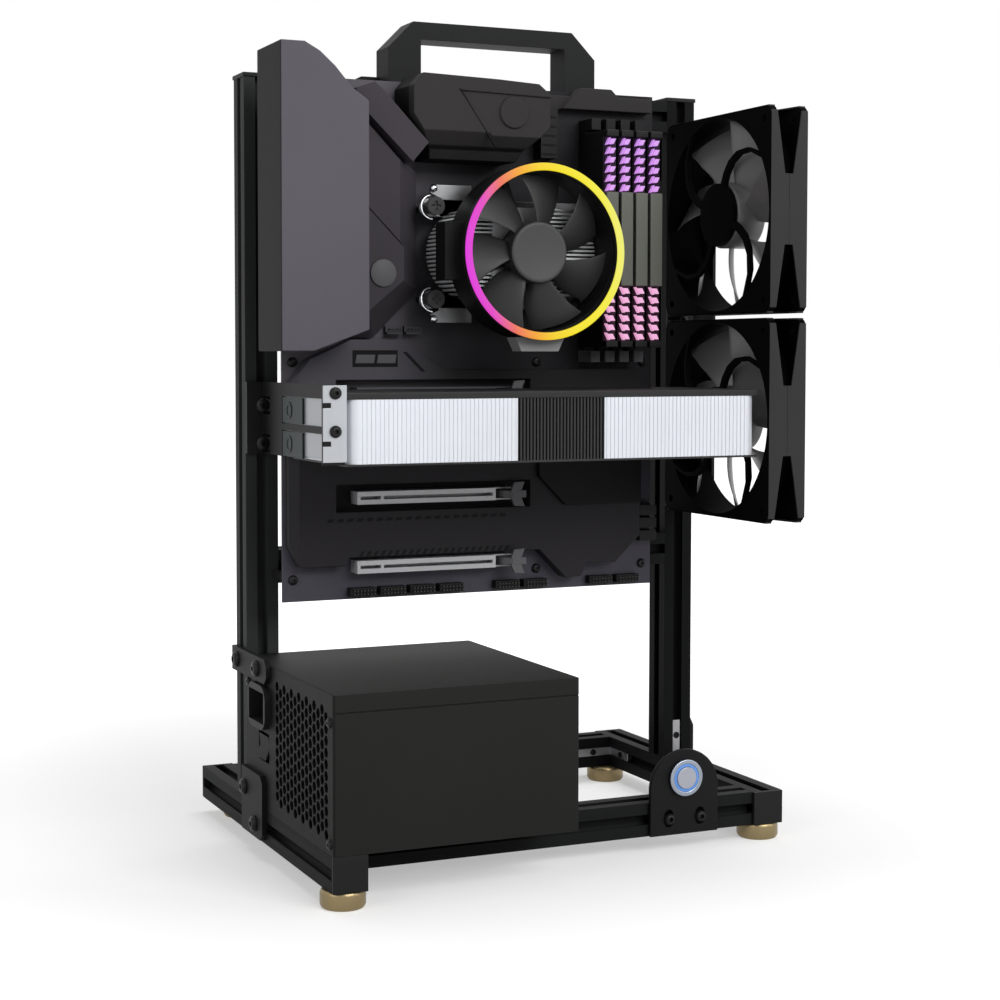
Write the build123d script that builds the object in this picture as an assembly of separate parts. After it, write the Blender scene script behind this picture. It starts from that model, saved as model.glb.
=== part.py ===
from build123d import *
import os
from math import cos, pi, radians, sin

# Open air test bench: a computer on an open frame of slotted aluminium extrusion.
# Millimetres, +Z up, +X to the right and +Y to the back. The origin lies on the floor below the
# middle of the frame's outer box.

# Frame of square slotted extrusion
frame_width = 305.0
rail = 20.0
slot_mouth = 6.2
slot_lip = 1.8
slot_cavity = 11.0
slot_floor = 5.0
slot_depth = 6.0
core_bore = 4.2
left_rail_depth = 247.0
right_rail_depth = 207.0
cap_thickness = 2.5
cap_overhang = 0.7
post_setback = 77.0
post_length = 428.0
lower_cross_drop = 280.0
foot_height = 10.0
foot_diameter = 25.0
foot_inset = 12.5
back_foot_inset_x = 21.5
back_foot_inset_y = 18.5

# Steel plates and bolts that join the frame
plate = 3.0
joining_plate_width = 18.0
joining_plate_height = 42.0
joining_plate_lift = 2.0
plate_corner = 4.0
supply_plate_height = 14.4
supply_plate_reach = 46.0
supply_bolt_reach = 28.4
supply_bolt_drop = 3.8
rail_plate_front = 37.5
rail_plate_height = 38.0
rail_plate_bolt = 23.5
rail_plate_bolt_rise = 28.0
bolt_diameter = 5.0
bolt_head_diameter = 9.5
bolt_head_height = 2.8
bolt_reach = 4.5
small_head_diameter = 6.6
small_head_height = 2.2
small_shank_diameter = 3.2
hole_clearance = 0.2
bolt_access = 12.0
connector_thickness = 3.5
connector_leg = 24.0
connector_clearance = 0.3
connector_sunk = 0.8

# Carrying handle
handle_width = 138.0
handle_rise = 35.5
handle_depth = 20.0
handle_leg = 21.0
handle_bar = 10.5
handle_chamfer = 16.0
handle_foot_reach = 18.0
handle_foot_thickness = 4.0
handle_foot_lip = 3.5
handle_foot_lift = 1.0

# Main board
board_width = 244.0
board_height = 305.0
board_thickness = 1.6
board_left_inset = 12.1
board_drop = 2.7
standoff_length = 30.0
standoff_across = 5.5
board_hole = 3.9
hole_columns = (6.35, 163.83, 237.49)
hole_rows = (10.16, 165.1, 292.1)

# Covers and heatsinks on the board
io_depth = 42.4
io_overhang = 14.1
io_rise = 13.2
io_height = 171.9
io_face = 38.5
cover_gap = 0.5
armour_height = 10.4
armour_inset = 2.0
armour_rise = 20.7
armour_bevel = 5.0
slot_frame = 8.0
chipset_height = 4.5
chipset_width = 70.4
chipset_inset = 14.6
chipset_rise = 52.6
chipset_chamfer = 18.0
vrm_height = 30.4
vrm_bevel = 10.0
vrm_facet = 1.5
vrm_step = 6.0
vrm_boss_radius = 9.3
shelf_height = 8.0
bridge_height = 3.0
left_sink_height = 24.0
left_sink_base = 6.9
sink_bar_height = 28.0
sink_boss_radius = 8.0
sink_line = 1.0

# Expansion slots
slot_length = 89.0
slot_width = 7.5
slot_height = 11.5
slot_inset = 42.3
slot_pitch = 20.32
lowest_slot_rise = 19.8
slot_end = 2.0
slot_groove_depth = 8.5
slot_key = 14.8
slot_key_width = 1.8
cheek_length = 12.0
cheek_height = 8.0
latch_length = 19.0
latch_width = 4.6

# Memory
module_count = 4
module_pitch = 10.0
module_width = 8.2
module_length = 130.0
module_height = 29.5
module_inset = 191.7
module_drop = 26.3
socket_height = 9.0
socket_width = 6.4
socket_length = 148.0
socket_latch_length = 7.0
socket_latch_height = 8.0
light_bar_depth = 5.0
light_bar_length = 33.0
light_bar_inset = 4.0
light_bar_teeth = 6
light_bar_root = 1.5
light_bar_gap = 0.4

# Connectors along the board's edges
power_connector = (10.0, 13.0, 52.0)
power_connector_drop = 53.0
drive_connector = (12.0, 9.0, 6.5)
drive_connector_rise = 28.0
drive_connector_pitch = 8.0
fan_connector = (11.5, 10.0, 30.0)
fan_connector_drop = 12.0
fan_connector_reach = 21.5
header = (16.0, 6.0, 5.0)
header_pitch = 19.0
header_rise = 2.0
header_starts = (40.0, 134.0, 198.0)
header_counts = (4, 2, 2)
edge_gap = 0.5

# Processor and its cooler
cooler_inset = 140.2
cooler_drop = 101.3
processor_side = 40.0
processor_height = 3.0
socket_side = 56.0
socket_rise = 4.0
sink_shift = 4.8
sink_length = 100.8
sink_height = 54.0
sink_base = 6.5
fin_length = 21.0
fin_pitch = 2.4
fin_gap = 1.2
fin_core = 34.0
arm_plate = 2.0
arm_ear = 6.4
screw_reach = 49.5
screw_rise = 27.0
screw_head_diameter = 10.8
screw_head_height = 4.0
screw_lift = 10.0
screw_shank = 2.0
screw_spring = 3.4
base_margin = 2.0
cross_length = 5.6
cross_width = 1.3
cross_depth = 1.2
shroud_radius = 50.5
shroud_bore = 46.0
shroud_depth = 22.0
shroud_tab_reach = 58.0
shroud_tab_height = 33.0
shroud_tab_depth = 14.0
cable_box = 12.0
cable_box_drop = 7.0
ring_radius = 51.0
ring_bore = 46.6
ring_depth = 6.0
cooler_hub_radius = 18.0
cooler_tip_radius = 44.5
cooler_rotor_depth = 15.0

# Graphics card
card_length = 254.0
card_depth = 88.0
card_gap = 18.4
fin_stack_length = 100.1
fin_stack_height = 34.4
card_fin_pitch = 2.5
card_fin_gap = 0.5
card_fin_groove = 2.0
card_corner = 8.0
rib_count = 26
rib_gap = 0.9
rib_groove = 1.6
card_board = 1.6
card_board_inset = 2.0
tongue_inset = 3.0
tongue_depth = 7.5
lip_thickness = 2.0
backplate = 1.6
backplate_gap = 0.4
bottom_plate = 1.2
card_rotor_radius = 38.0
card_hub_radius = 15.0
card_rotor_depth = 8.0
mouth_clearance = 0.8
card_bracket = 0.9
bracket_tab = 13.4
bracket_rise = 6.8
bracket_drop = 34.0
bracket_end = 3.0
holder_plate = 1.5
holder_window = 7.7
holder_window_drop = 8.7
holder_window_pitch = 19.3
holder_border = 12.0
holder_back = 6.0
holder_bolt_drops = (7.0, 29.5)
tab_screw_rise = 2.7
tab_notch = 4.5
tab_notch_height = 2.6
holder_clearance = 0.4
card_clearance = 0.2

# Case fans
fan_side = 120.0
fan_depth = 25.0
fan_flange = 4.0
fan_bore = 116.0
fan_wall = 1.5
fan_waist = 14.0
fan_waist_gap = 3.0
fan_corner = 6.0
fan_hole_pitch = 105.0
fan_hole = 4.3
fan_card_gap = 5.3
fan_stand_off = 22.5
fan_top_drop = 19.0
fan_spacing = 3.0
fan_hub_radius = 20.0
fan_tip_radius = 56.5
fan_bracket_plate = 2.0
fan_bracket_lap = 8.0
fan_bolt_drop = 35.0
fan_bolt_pitch = 106.0
fan_screw_head = 3.8
fan_screw_head_height = 2.2
fan_screw_length = 6.0

# Power supply
psu_length = 145.0
psu_width = 150.0
psu_height = 86.0
psu_wall = 1.2
psu_fan_radius = 58.0
psu_hub_radius = 20.0
psu_fan_shift = 4.0
psu_rotor_depth = 18.0
grille_hole = 5.2
grille_pitch_y = 6.35
grille_pitch_z = 6.3
grille_columns = 14
grille_rows = 11
grille_inset = 10.5
lid_lap = 9.5
lid_seam = 0.6
inlet_inset = 30.0
inlet_rise = 60.8
inlet_width = 31.0
inlet_height = 24.0
inlet_depth = 22.0
inlet_mouth_depth = 16.0
inlet_mouth_width = 27.0
inlet_mouth_height = 18.0
inlet_collar = 1.0
inlet_collar_depth = 4.0
inlet_corner = 9.0
pin_reach = 7.0
pin_step = 2.0
pin_back = 6.0
switch_inset = 32.5
switch_rise = 37.0
switch_width = 19.0
switch_height = 17.0
switch_gap = 0.5
switch_tilt = 8.0

# Power button
button_plate_width = 46.0
button_plate_height = 50.7
button_rise = 34.0
button_bezel_diameter = 22.0
button_barrel_diameter = 19.0
button_barrel_length = 9.0
button_ring_diameter = 16.4
button_cap_diameter = 13.0
button_proud = 2.5
button_travel = 1.5
button_from_right = 68.9
button_bolt_reach = 10.6
button_slot = 5.0
button_ring_depth = 3.0
button_bore_depth = 8.0
button_cap_gap = 0.3
button_cap_proud = 0.4

# Running clearance between a turning piece and what carries it
running_gap = 0.6
stub_radius = 3.0
stub_length = 4.0
stub_clearance = 0.05
spider = 3.0
spider_width = 4.0
overlap = 1.0
blade_cover = 0.86
blade_thickness = 1.4

# Levels and faces that the pieces share
half = frame_width / 2
inner = half - rail
rail_bottom = foot_height
rail_top = rail_bottom + rail
slot_level = rail_bottom + rail / 2
base_back = left_rail_depth / 2
base_front = -base_back
right_front = base_back - right_rail_depth
post_back = base_back - post_setback
post_front = post_back - rail
post_middle = post_front + rail / 2
post_slot = half - rail / 2
post_top = rail_top + post_length
upper_rail_middle = post_top - rail / 2
lower_rail_middle = upper_rail_middle - lower_cross_drop
board_left = -half + board_left_inset
board_right = board_left + board_width
board_top = post_top - board_drop
board_bottom = board_top - board_height
board_back = post_front - standoff_length
board_front = board_back - board_thickness
slot_left = board_left + slot_inset
slot_levels = [board_bottom + lowest_slot_rise + steps * slot_pitch for steps in (5, 2, 0)]
card_level = slot_levels[0]
cooler_x = board_left + cooler_inset
cooler_z = board_top - cooler_drop


def block(x, y, z):
    """A box between a low and a high value along each axis."""
    sizes = [high - low for low, high in (x, y, z)]
    middles = [(high + low) / 2 for low, high in (x, y, z)]
    return Pos(*middles) * Box(*sizes)


def slab_y(outline, front, back):
    """A flat piece with an outline of (x, z) points, between two depths."""
    face = make_face(Polyline(*[(x, front, z) for x, z in outline], close=True))
    return extrude(face, amount=back - front, dir=(0, 1, 0))


def slab_x(outline, left, right):
    """A flat piece with an outline of (y, z) points, between two sides."""
    face = make_face(Polyline(*[(left, y, z) for y, z in outline], close=True))
    return extrude(face, amount=right - left, dir=(1, 0, 0))


def slab_z(outline, low, high):
    """A flat piece with an outline of (x, y) points, between two levels."""
    face = make_face(Polyline(*[(x, y, low) for x, y in outline], close=True))
    return extrude(face, amount=high - low, dir=(0, 0, 1))


def rod_x(y, z, radius, left, right):
    return Pos((left + right) / 2, y, z) * Rot(0, 90, 0) * Cylinder(radius, right - left)


def rod_y(x, z, radius, front, back):
    return Pos(x, (front + back) / 2, z) * Rot(90, 0, 0) * Cylinder(radius, back - front)


def rod_z(x, y, radius, low, high):
    return Pos(x, y, (low + high) / 2) * Cylinder(radius, high - low)


def group(pieces):
    """Separate solids kept together in one node."""
    return Compound([solid for piece in pieces for solid in piece.solids()])


# Slotted extrusion
def extrusion(length):
    """One length of square extrusion with a T-slot in each side, standing on the origin."""
    edge = rail / 2
    lip = edge - slot_lip
    floor = edge - slot_depth
    shoulder = lip - slot_lip
    slot = [(-slot_mouth / 2, edge), (-slot_mouth / 2, lip), (-slot_cavity / 2, lip),
            (-slot_cavity / 2, shoulder), (-slot_floor / 2, floor), (slot_floor / 2, floor),
            (slot_cavity / 2, shoulder), (slot_cavity / 2, lip), (slot_mouth / 2, lip),
            (slot_mouth / 2, edge)]
    groove = make_face(Polyline(*slot, close=True))
    section = Rectangle(rail, rail) - Circle(core_bore / 2)
    for turn in range(4):
        section -= Rot(0, 0, 90 * turn) * groove
    return extrude(section, amount=length)


def rail_x(left, right, y, z):
    return Pos(left, y, z) * Rot(0, 90, 0) * extrusion(right - left)


def rail_y(front, back, x, z):
    return Pos(x, front, z) * Rot(-90, 0, 0) * extrusion(back - front)


def cap(x, y, z, overhang):
    """An end cap centred on a point, square to the extrusion that it closes."""
    side = rail + 2 * overhang
    return Pos(x, y, z) * Box(side, side, cap_thickness)


def end_caps():
    caps = [cap(x, post_middle, post_top + cap_thickness / 2, cap_overhang)
            for x in (-post_slot, post_slot)]
    ends = [(-post_slot, base_front + cap_thickness / 2), (-post_slot, base_back - cap_thickness / 2),
            (post_slot, right_front + cap_thickness / 2), (post_slot, base_back - cap_thickness / 2)]
    for x, y in ends:
        caps.append(Pos(x, y, slot_level) * Box(rail, cap_thickness, rail))
    return group(caps)


# Feet, plates, connectors and bolts
def levelling_feet():
    """Turned feet, two under the front ends of the side rails and two in the back corners."""
    back_x, back_y = half - back_foot_inset_x, base_back - back_foot_inset_y
    spots = [(-post_slot, base_front + foot_inset), (-back_x, back_y),
             (post_slot, right_front + foot_inset), (back_x, back_y)]
    radius = foot_diameter / 2
    rim = foot_height * 0.2
    profile = [(0, 0), (radius - rim / 2, 0), (radius, rim), (radius, foot_height - rim),
               (radius - rim / 2, foot_height), (0, foot_height)]
    foot = revolve(make_face(Polyline(*[(x, 0, z) for x, z in profile], close=True)), Axis.Z)
    return group([Pos(x, y, 0) * foot for x, y in spots])


right_bolts = [(1, post_middle, level) for level in (slot_level, rail_top + joining_plate_height / 4)]
supply_level = rail_top + psu_height - supply_bolt_drop
post_bolt = (-1, post_middle, supply_level)
rail_bolt = (-1, post_front - rail_plate_bolt, slot_level)
supply_bolts = [(post_front - supply_bolt_reach, supply_level),
                (post_front - plate_corner, rail_bottom + rail_plate_bolt_rise)]
button_x = half - button_from_right
button_slots = [button_x - button_bolt_reach, button_x + button_bolt_reach]
front_rail_front = right_front + cap_thickness
button_plate_front = front_rail_front - plate
holder_levels = [card_level - drop for drop in holder_bolt_drops]
fan_bracket_front = post_front - fan_bracket_plate
fan_bolt_levels = [post_top - fan_bolt_drop - step * fan_bolt_pitch for step in range(3)]
handle_bolts = [side * (handle_width / 2 + handle_foot_reach / 2) for side in (-1, 1)]


def side_bolt(side, y, z):
    """A button-head bolt through a plate on the left (-1) or right (1) of the frame."""
    seat = side * (half + plate)
    head = sorted((seat, seat + side * bolt_head_height))
    shank = sorted((seat, seat - side * (plate + bolt_reach)))
    return rod_x(y, z, bolt_head_diameter / 2, *head) + rod_x(y, z, bolt_diameter / 2, *shank)


def front_bolt(x, z, seat, through, head_diameter=bolt_head_diameter):
    """A button-head bolt that goes in from the front."""
    head = rod_y(x, z, head_diameter / 2, seat - bolt_head_height, seat)
    return head + rod_y(x, z, bolt_diameter / 2, seat, seat + through + bolt_reach)


def supply_bolt(y, z):
    """A short bolt through a plate that ends at the power supply's wall."""
    seat = -half - plate
    head = rod_x(y, z, bolt_head_diameter / 2, seat - bolt_head_height, seat)
    return head + rod_x(y, z, bolt_diameter / 2, seat, -half)


def card_screw(level):
    """A small screw through the card bracket's tab and the holder's lip."""
    seat = card_front - card_bracket
    head = rod_y(tab_x, level, small_head_diameter / 2, seat - small_head_height, seat)
    return head + rod_y(tab_x, level, small_shank_diameter / 2, seat, card_front + holder_plate)


def frame_bolts():
    bolts = [side_bolt(*spot) for spot in right_bolts + [post_bolt, rail_bolt]]
    bolts += [supply_bolt(*spot) for spot in supply_bolts]
    bolts += [front_bolt(x, slot_level, button_plate_front, plate, small_head_diameter)
              for x in button_slots]
    bolts += [front_bolt(-post_slot, z, post_front - plate, plate) for z in holder_levels]
    bolts += [front_bolt(post_slot, z, fan_bracket_front, fan_bracket_plate) for z in fan_bolt_levels]
    bolts += [front_bolt(x, upper_rail_middle, post_front - handle_foot_thickness, handle_foot_thickness)
              for x in handle_bolts]
    return group(bolts + [card_screw(level) for level in tab_levels])


def bolt_hole_x(y, z):
    return rod_x(y, z, bolt_diameter / 2 + hole_clearance, -half - 2 * plate, half + 2 * plate)


def side_plate(side, back, front, low, high, bolts):
    """A flat plate on one side of the frame, with its two front corners cut off."""
    outline = [(back, low), (back, high), (front + plate_corner, high), (front, high - plate_corner),
               (front, low + plate_corner), (front + plate_corner, low)]
    piece = slab_x(outline, *sorted((side * half, side * (half + plate))))
    for y, z in bolts:
        piece -= bolt_hole_x(y, z)
    return piece


def joining_plates():
    """Plates from the right post to its rail, and from the power supply to the left post and rail."""
    low = rail_bottom + joining_plate_lift
    reach = joining_plate_width / 2
    right = side_plate(1, post_middle + reach, post_middle - reach, low, low + joining_plate_height,
                       [spot[1:] for spot in right_bolts])
    rise = supply_plate_height / 2
    upper = side_plate(-1, post_back, post_front - supply_plate_reach, supply_level - rise,
                       supply_level + rise, [post_bolt[1:], supply_bolts[0]])
    lower = side_plate(-1, post_front + joining_plate_lift, post_front - rail_plate_front, low,
                       low + rail_plate_height, [rail_bolt[1:], supply_bolts[1]])
    return group([right, upper, lower])


def slot_connectors():
    """L-shaped steel connectors that lie inside the slots at the frame's inner corners."""
    width = slot_mouth - 2 * connector_clearance
    near, far = connector_sunk, connector_sunk + connector_thickness
    pieces = []
    for side in (-1, 1):
        across = (side * post_slot - width / 2, side * post_slot + width / 2)
        low, high = rail_top - far, rail_top - near
        upright = block(across, (post_front + near, post_front + far), (low, rail_top + connector_leg))
        pieces.append(upright + block(across, (post_front - connector_leg, post_front + far), (low, high)))
        flat = (slot_level - width / 2, slot_level + width / 2)
        inside = sorted((side * (inner + near), side * (inner + far)))
        for face, into in ((front_rail_front + rail, -1), (base_back - cap_thickness - rail, 1)):
            depth = sorted((face + into * near, face + into * far))
            run = sorted((face + into * far, face - into * connector_leg))
            along = sorted((side * (inner - connector_leg), side * (inner + far)))
            pieces.append(block(inside, run, flat) + block(along, depth, flat))
    return group(pieces)


# Carrying handle
def carry_handle():
    """A moulded bow with two broad legs, each with an outward foot bolted to the upper rail."""
    reach = handle_width / 2
    low, top = post_top - rail + handle_foot_lift, post_top + handle_rise
    foot_top = post_top + handle_foot_lip
    inside = reach - handle_leg
    bow = [(-reach, low), (-reach, top - handle_chamfer), (-reach + handle_chamfer, top),
           (reach - handle_chamfer, top), (reach, top - handle_chamfer), (reach, low)]
    window = [(-inside, low), (-inside, top - handle_bar), (inside, top - handle_bar), (inside, low)]
    front, foot_front = post_front - handle_depth, post_front - handle_foot_thickness
    handle = slab_y(bow, front, post_front) - slab_y(window, front, post_front)
    span = reach + handle_foot_reach
    for side, x in zip((-1, 1), handle_bolts):
        root = side * (reach - overlap)
        foot = [(root, low), (side * span, low), (side * span, post_top),
                (side * (span - 2 * handle_foot_lip), foot_top), (root, foot_top)]
        hole = bolt_diameter / 2 + hole_clearance
        handle += slab_y(foot, foot_front, post_front)
        handle -= rod_y(x, upper_rail_middle, hole, foot_front, post_front)
    return handle


# Main board
io_top = board_top + io_rise
io_crease = board_left + io_face
module_back = board_front - socket_height
module_front = module_back - module_height
module_top = board_top - module_drop
module_lefts = [board_left + module_inset + index * module_pitch for index in range(module_count)]


def board_holes(rows):
    return [(board_left + x, board_top - z) for x in hole_columns for z in rows]


def board_standoffs():
    """Hexagonal pillars from the posts and cross rails to the board's upper and lower holes."""
    pillars = []
    for x, z in board_holes((hole_rows[0], hole_rows[2])):
        hexagon = Plane.XZ * Pos(x, z) * RegularPolygon(standoff_across / 2, 6, major_radius=False)
        pillars.append(Pos(0, post_front, 0) * extrude(hexagon, amount=standoff_length))
    return group(pillars)


def motherboard():
    """The bare board with its holes and the fixed frame of the processor socket."""
    board = block((board_left, board_right), (board_front, board_back), (board_bottom, board_top))
    for x, z in board_holes(hole_rows):
        board -= rod_y(x, z, board_hole / 2, board_front, board_back)
    side = socket_side / 2
    return board + block((cooler_x - side, cooler_x + side), (board_front - socket_rise, board_front),
                         (cooler_z - side, cooler_z + side))


def io_cover():
    """The tall cover over the rear ports, with a stepped and sloped upper corner."""
    left, low, top = board_left - io_overhang, io_top - io_height, io_top
    outline = [(left, low), (left, top), (left + 14.5, top), (left + 23.5, top - 4.8),
               (left + 32.5, top - 12.6), (left + 42.5, top - 24.0), (io_crease, top - 31.0),
               (io_crease, low + 12.0), (left + 19.5, low)]
    return slab_y(outline, board_front - io_depth, board_front)


def flat_face(outline, depth):
    """A plane face of (x, z) points that faces the front."""
    return make_face(Polyline(*[(x, depth, z) for x, z in outline], close=True))


def vrm_heatsink_left():
    """A bevelled block beside the port cover with a round boss, below a slanted bar."""
    left, top = io_crease + cover_gap, io_top
    front, base = board_front - left_sink_height, board_front - left_sink_base
    face = [(left, top - 35.4), (left + 25.4, top - 61.6), (left + 25.4, top - 107.5),
            (left + 27.8, top - 111.5), (left + 27.8, top - 130.5), (left + 6.6, top - 148.2),
            (left, top - 153.7)]
    foot = [(left, top - 28.5), (left + 42.4, top - 66.5), (left + 42.7, top - 118.0),
            (left + 42.9, top - 123.5), (left + 43.0, top - 135.7), (left + 14.8, top - 164.0),
            (left, top - 164.0)]
    bevel = loft([flat_face(face, front), flat_face(foot, base)], ruled=True)
    sink = slab_y(foot, base, board_front) + bevel
    line = [(left, top - 83.0), (left + 27.0, top - 110.0), (left + 27.0, top - 110.0 - sink_line),
            (left, top - 83.0 - sink_line)]
    sink -= slab_y(line, front, front + sink_line)
    sink += rod_y(left + 14.7, top - 126.8, sink_boss_radius, front - sink_line, front)
    bar = [(left, top - 31.9), (left - 3.1, top - 22.0), (left + 8.3, top - 18.0),
           (left + 13.2, top - 21.7), (left + 41.9, top - 51.0), (left + 31.9, top - 62.5),
           (left + 4.6, top - 36.3)]
    return sink + slab_y(bar, board_front - sink_bar_height, board_front)


def vrm_heatsink_top():
    """The faceted block above the processor with a round boss, and a low shelf to its right."""
    left, right = cooler_x - 69.7, cooler_x + 18.7
    low, high = cooler_z + 60.5, board_top + 1.9
    front = board_front - vrm_height
    outline = [(left, high - 7.0), (left + 6.0, high), (left + 54.0, high - 1.4),
               (right - 8.0, high - 2.8), (right, high - 9.0), (right, high - 28.0), (right - 15.5, low),
               (left + 13.0, low), (left, high - 23.3)]
    profile = [(board_front, low), (front + vrm_bevel, low), (front, low + vrm_bevel), (front, high),
               (board_front, high)]
    sink = slab_y(outline, front, board_front) & slab_x(profile, left, right)
    step = [(left + 13.0, low - vrm_step), (left + 13.0, low), (right - 15.5, low),
            (right - 20.0, low - vrm_step)]
    sink += slab_y(step, front + vrm_bevel - vrm_facet, board_front)
    facet = [(left + 29.0, high - 9.0), (left + 57.5, low), (right, low), (right, high - 10.5)]
    sink -= slab_y(facet, front, front + vrm_facet)
    sink += rod_y(cooler_x - 5.5, high - 20.2, vrm_boss_radius, front, front + vrm_facet)
    end, floor = board_right - 4.6, board_top - 11.3
    step_down = high - 4.7
    shelf = [(end - 62.0, floor), (end - 49.5, high), (end - 28.4, high), (end - 23.4, step_down),
             (end, step_down), (end, floor)]
    bridge = block((right - overlap, end - 50.0), (board_front - bridge_height, board_front),
                   (floor, step_down))
    return sink + bridge + slab_y(shelf, board_front - shelf_height, board_front)


def expansion_armour():
    """The plate over the drive slots, cut out round the upper and middle expansion slots."""
    left, low = board_left + armour_inset, board_bottom + armour_rise
    front = board_front - armour_height
    step = slot_levels[2] + slot_width / 2 + 2.0
    shelf = card_level + 10.0
    outline = [(left + 37.4, shelf + 21.8), (left + 11.4, shelf + 10.3), (left, shelf - 4.7),
               (left, low + 12.4), (left + 6.0, low), (left + 34.0, low), (left + 36.0, step),
               (left + 159.2, step), (left + 177.7, low - 13.5), (left + 188.0, low - 12.8),
               (left + 191.5, low - 4.9), (left + 212.0, low - 5.0), (left + 229.0, low + 11.1),
               (left + 229.0, shelf + 4.0), (left + 97.4, shelf + 4.0), (left + 78.2, shelf + 15.6),
               (left + 71.0, shelf + 21.8)]
    plan = [(left, board_front), (left, front + armour_bevel), (left + armour_bevel, front),
            (board_right, front), (board_right, board_front)]
    armour = slab_y(outline, front, board_front) & slab_z(plan, board_bottom, board_top)
    for level in slot_levels[:2]:
        reach = (slot_left - 12.5, slot_left + slot_length + latch_length + 4.5)
        armour -= block(reach, (front, board_front), (level - slot_frame, level + slot_frame))
    return armour


def chipset_cover():
    """The darker plate on the armour at the lower right."""
    right = board_right - chipset_inset
    left = right - chipset_width
    low, high = board_bottom + chipset_rise, card_level - slot_frame
    outline = [(left, low + chipset_chamfer), (left + chipset_chamfer, low), (right, low), (right, high),
               (left, high)]
    seat = board_front - armour_height
    return slab_y(outline, seat - chipset_height, seat)


def edge_connector(left, low, size):
    """A plain connector on the board, from its lower left corner, as wide, high and long as given."""
    width, height, length = size
    return block((left, left + width), (board_front - height, board_front), (low, low + length))


def memory_socket(left):
    """A socket for one module, with a latch standing up at each end."""
    middle = left + module_width / 2
    across = (middle - socket_width / 2, middle + socket_width / 2)
    face = board_front - socket_height
    low = module_top - module_length / 2 - socket_length / 2
    high = low + socket_length
    socket = block(across, (face, board_front), (low, high))
    for ends in ((low, low + socket_latch_length), (high - socket_latch_length, high)):
        socket += block(across, (face - socket_latch_height, face), ends)
    return socket


def board_sockets():
    """Memory sockets, power and drive connectors at the right, and headers along the lower edge."""
    pieces = [memory_socket(left) for left in module_lefts]
    right = board_right - edge_gap
    pieces.append(edge_connector(right - power_connector[0], board_top - power_connector_drop
                                 - power_connector[2], power_connector))
    for step in range(3):
        level = board_bottom + drive_connector_rise + step * drive_connector_pitch
        pieces.append(edge_connector(right - drive_connector[0], level, drive_connector))
    pieces.append(edge_connector(cooler_x + fan_connector_reach, board_top - fan_connector_drop
                                 - fan_connector[2], fan_connector))
    for start, count in zip(header_starts, header_counts):
        for step in range(count):
            left = board_left + start + step * header_pitch
            pieces.append(edge_connector(left, board_bottom + header_rise, header))
    return group(pieces)


# Expansion slots and their latches
def expansion_slot(level):
    """A long socket with a keyed card groove and two cheeks that hold the latch."""
    front = board_front - slot_height
    end = slot_left + slot_length
    levels = (level - slot_width / 2, level + slot_width / 2)
    socket = block((slot_left, end), (front, board_front), levels)
    groove = card_board / 2 + hole_clearance
    key = slot_left + slot_key
    for low, high in ((slot_left + slot_end, key), (key + slot_key_width, end - slot_end)):
        socket -= block((low, high), (front, front + slot_groove_depth), (level - groove, level + groove))
    cheek = latch_width / 2 + running_gap
    for low, high in ((levels[0], level - cheek), (level + cheek, levels[1])):
        socket += block((end, end + cheek_length), (board_front - cheek_height, board_front), (low, high))
    return socket


latch_pivot = (slot_left + slot_length + 6.0, board_front - 4.5)


def slot_latch(level):
    """A lever that pivots between the slot's cheeks, with a hook over the card's tail."""
    x, y = latch_pivot
    outline = [(x - 3.0, y + 3.0), (x + 3.0, y + 3.0), (x + 4.0, y - 6.0), (x + 12.0, y - 10.0),
               (x + 12.0, y - 12.5), (x + 3.0, y - 12.5), (x - 1.0, y - 9.0), (x - 3.0, y - 6.0)]
    return slab_z(outline, level - latch_width / 2, level + latch_width / 2)


# Memory modules
def light_bar_spans():
    """Low and high level of the light bars, near the lower and upper ends of a module."""
    low = module_top - module_length + light_bar_inset
    high = module_top - light_bar_inset
    return [(low, low + light_bar_length), (high - light_bar_length, high)]


def memory_modules():
    """Upright modules in plain spreaders, cut back near both ends for the light bars."""
    pieces = []
    for left in module_lefts:
        across = (left, left + module_width)
        body = block(across, (module_front, module_back), (module_top - module_length, module_top))
        for span in light_bar_spans():
            body -= block(across, (module_front, module_front + light_bar_depth), span)
        pieces.append(body)
    return group(pieces)


def memory_light_bars():
    """Saw-toothed light guides in the modules."""
    pieces = []
    back = module_front + light_bar_depth
    tooth = light_bar_length / light_bar_teeth
    for left in module_lefts:
        for low, high in light_bar_spans():
            outline = [(back, low)]
            for index in range(light_bar_teeth):
                start = low + index * tooth
                outline += [(back - light_bar_root, start), (module_front, start + tooth * 0.35),
                            (module_front, start + tooth * 0.8)]
            outline.append((back, high))
            pieces.append(slab_x(outline, left + light_bar_gap, left + module_width - light_bar_gap))
    return group(pieces)


# Processor and its cooler
socket_face = board_front - socket_rise
processor_face = socket_face - processor_height
sink_x = cooler_x - sink_shift
fin_back = processor_face - sink_base
fin_front = fin_back - fin_length
spread_x = [sink_x - screw_reach, sink_x + screw_reach]
spread_z = [cooler_z - screw_rise, cooler_z + screw_rise]


def processor():
    side = processor_side / 2
    return block((cooler_x - side, cooler_x + side), (processor_face, socket_face),
                 (cooler_z - side, cooler_z + side))


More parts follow.
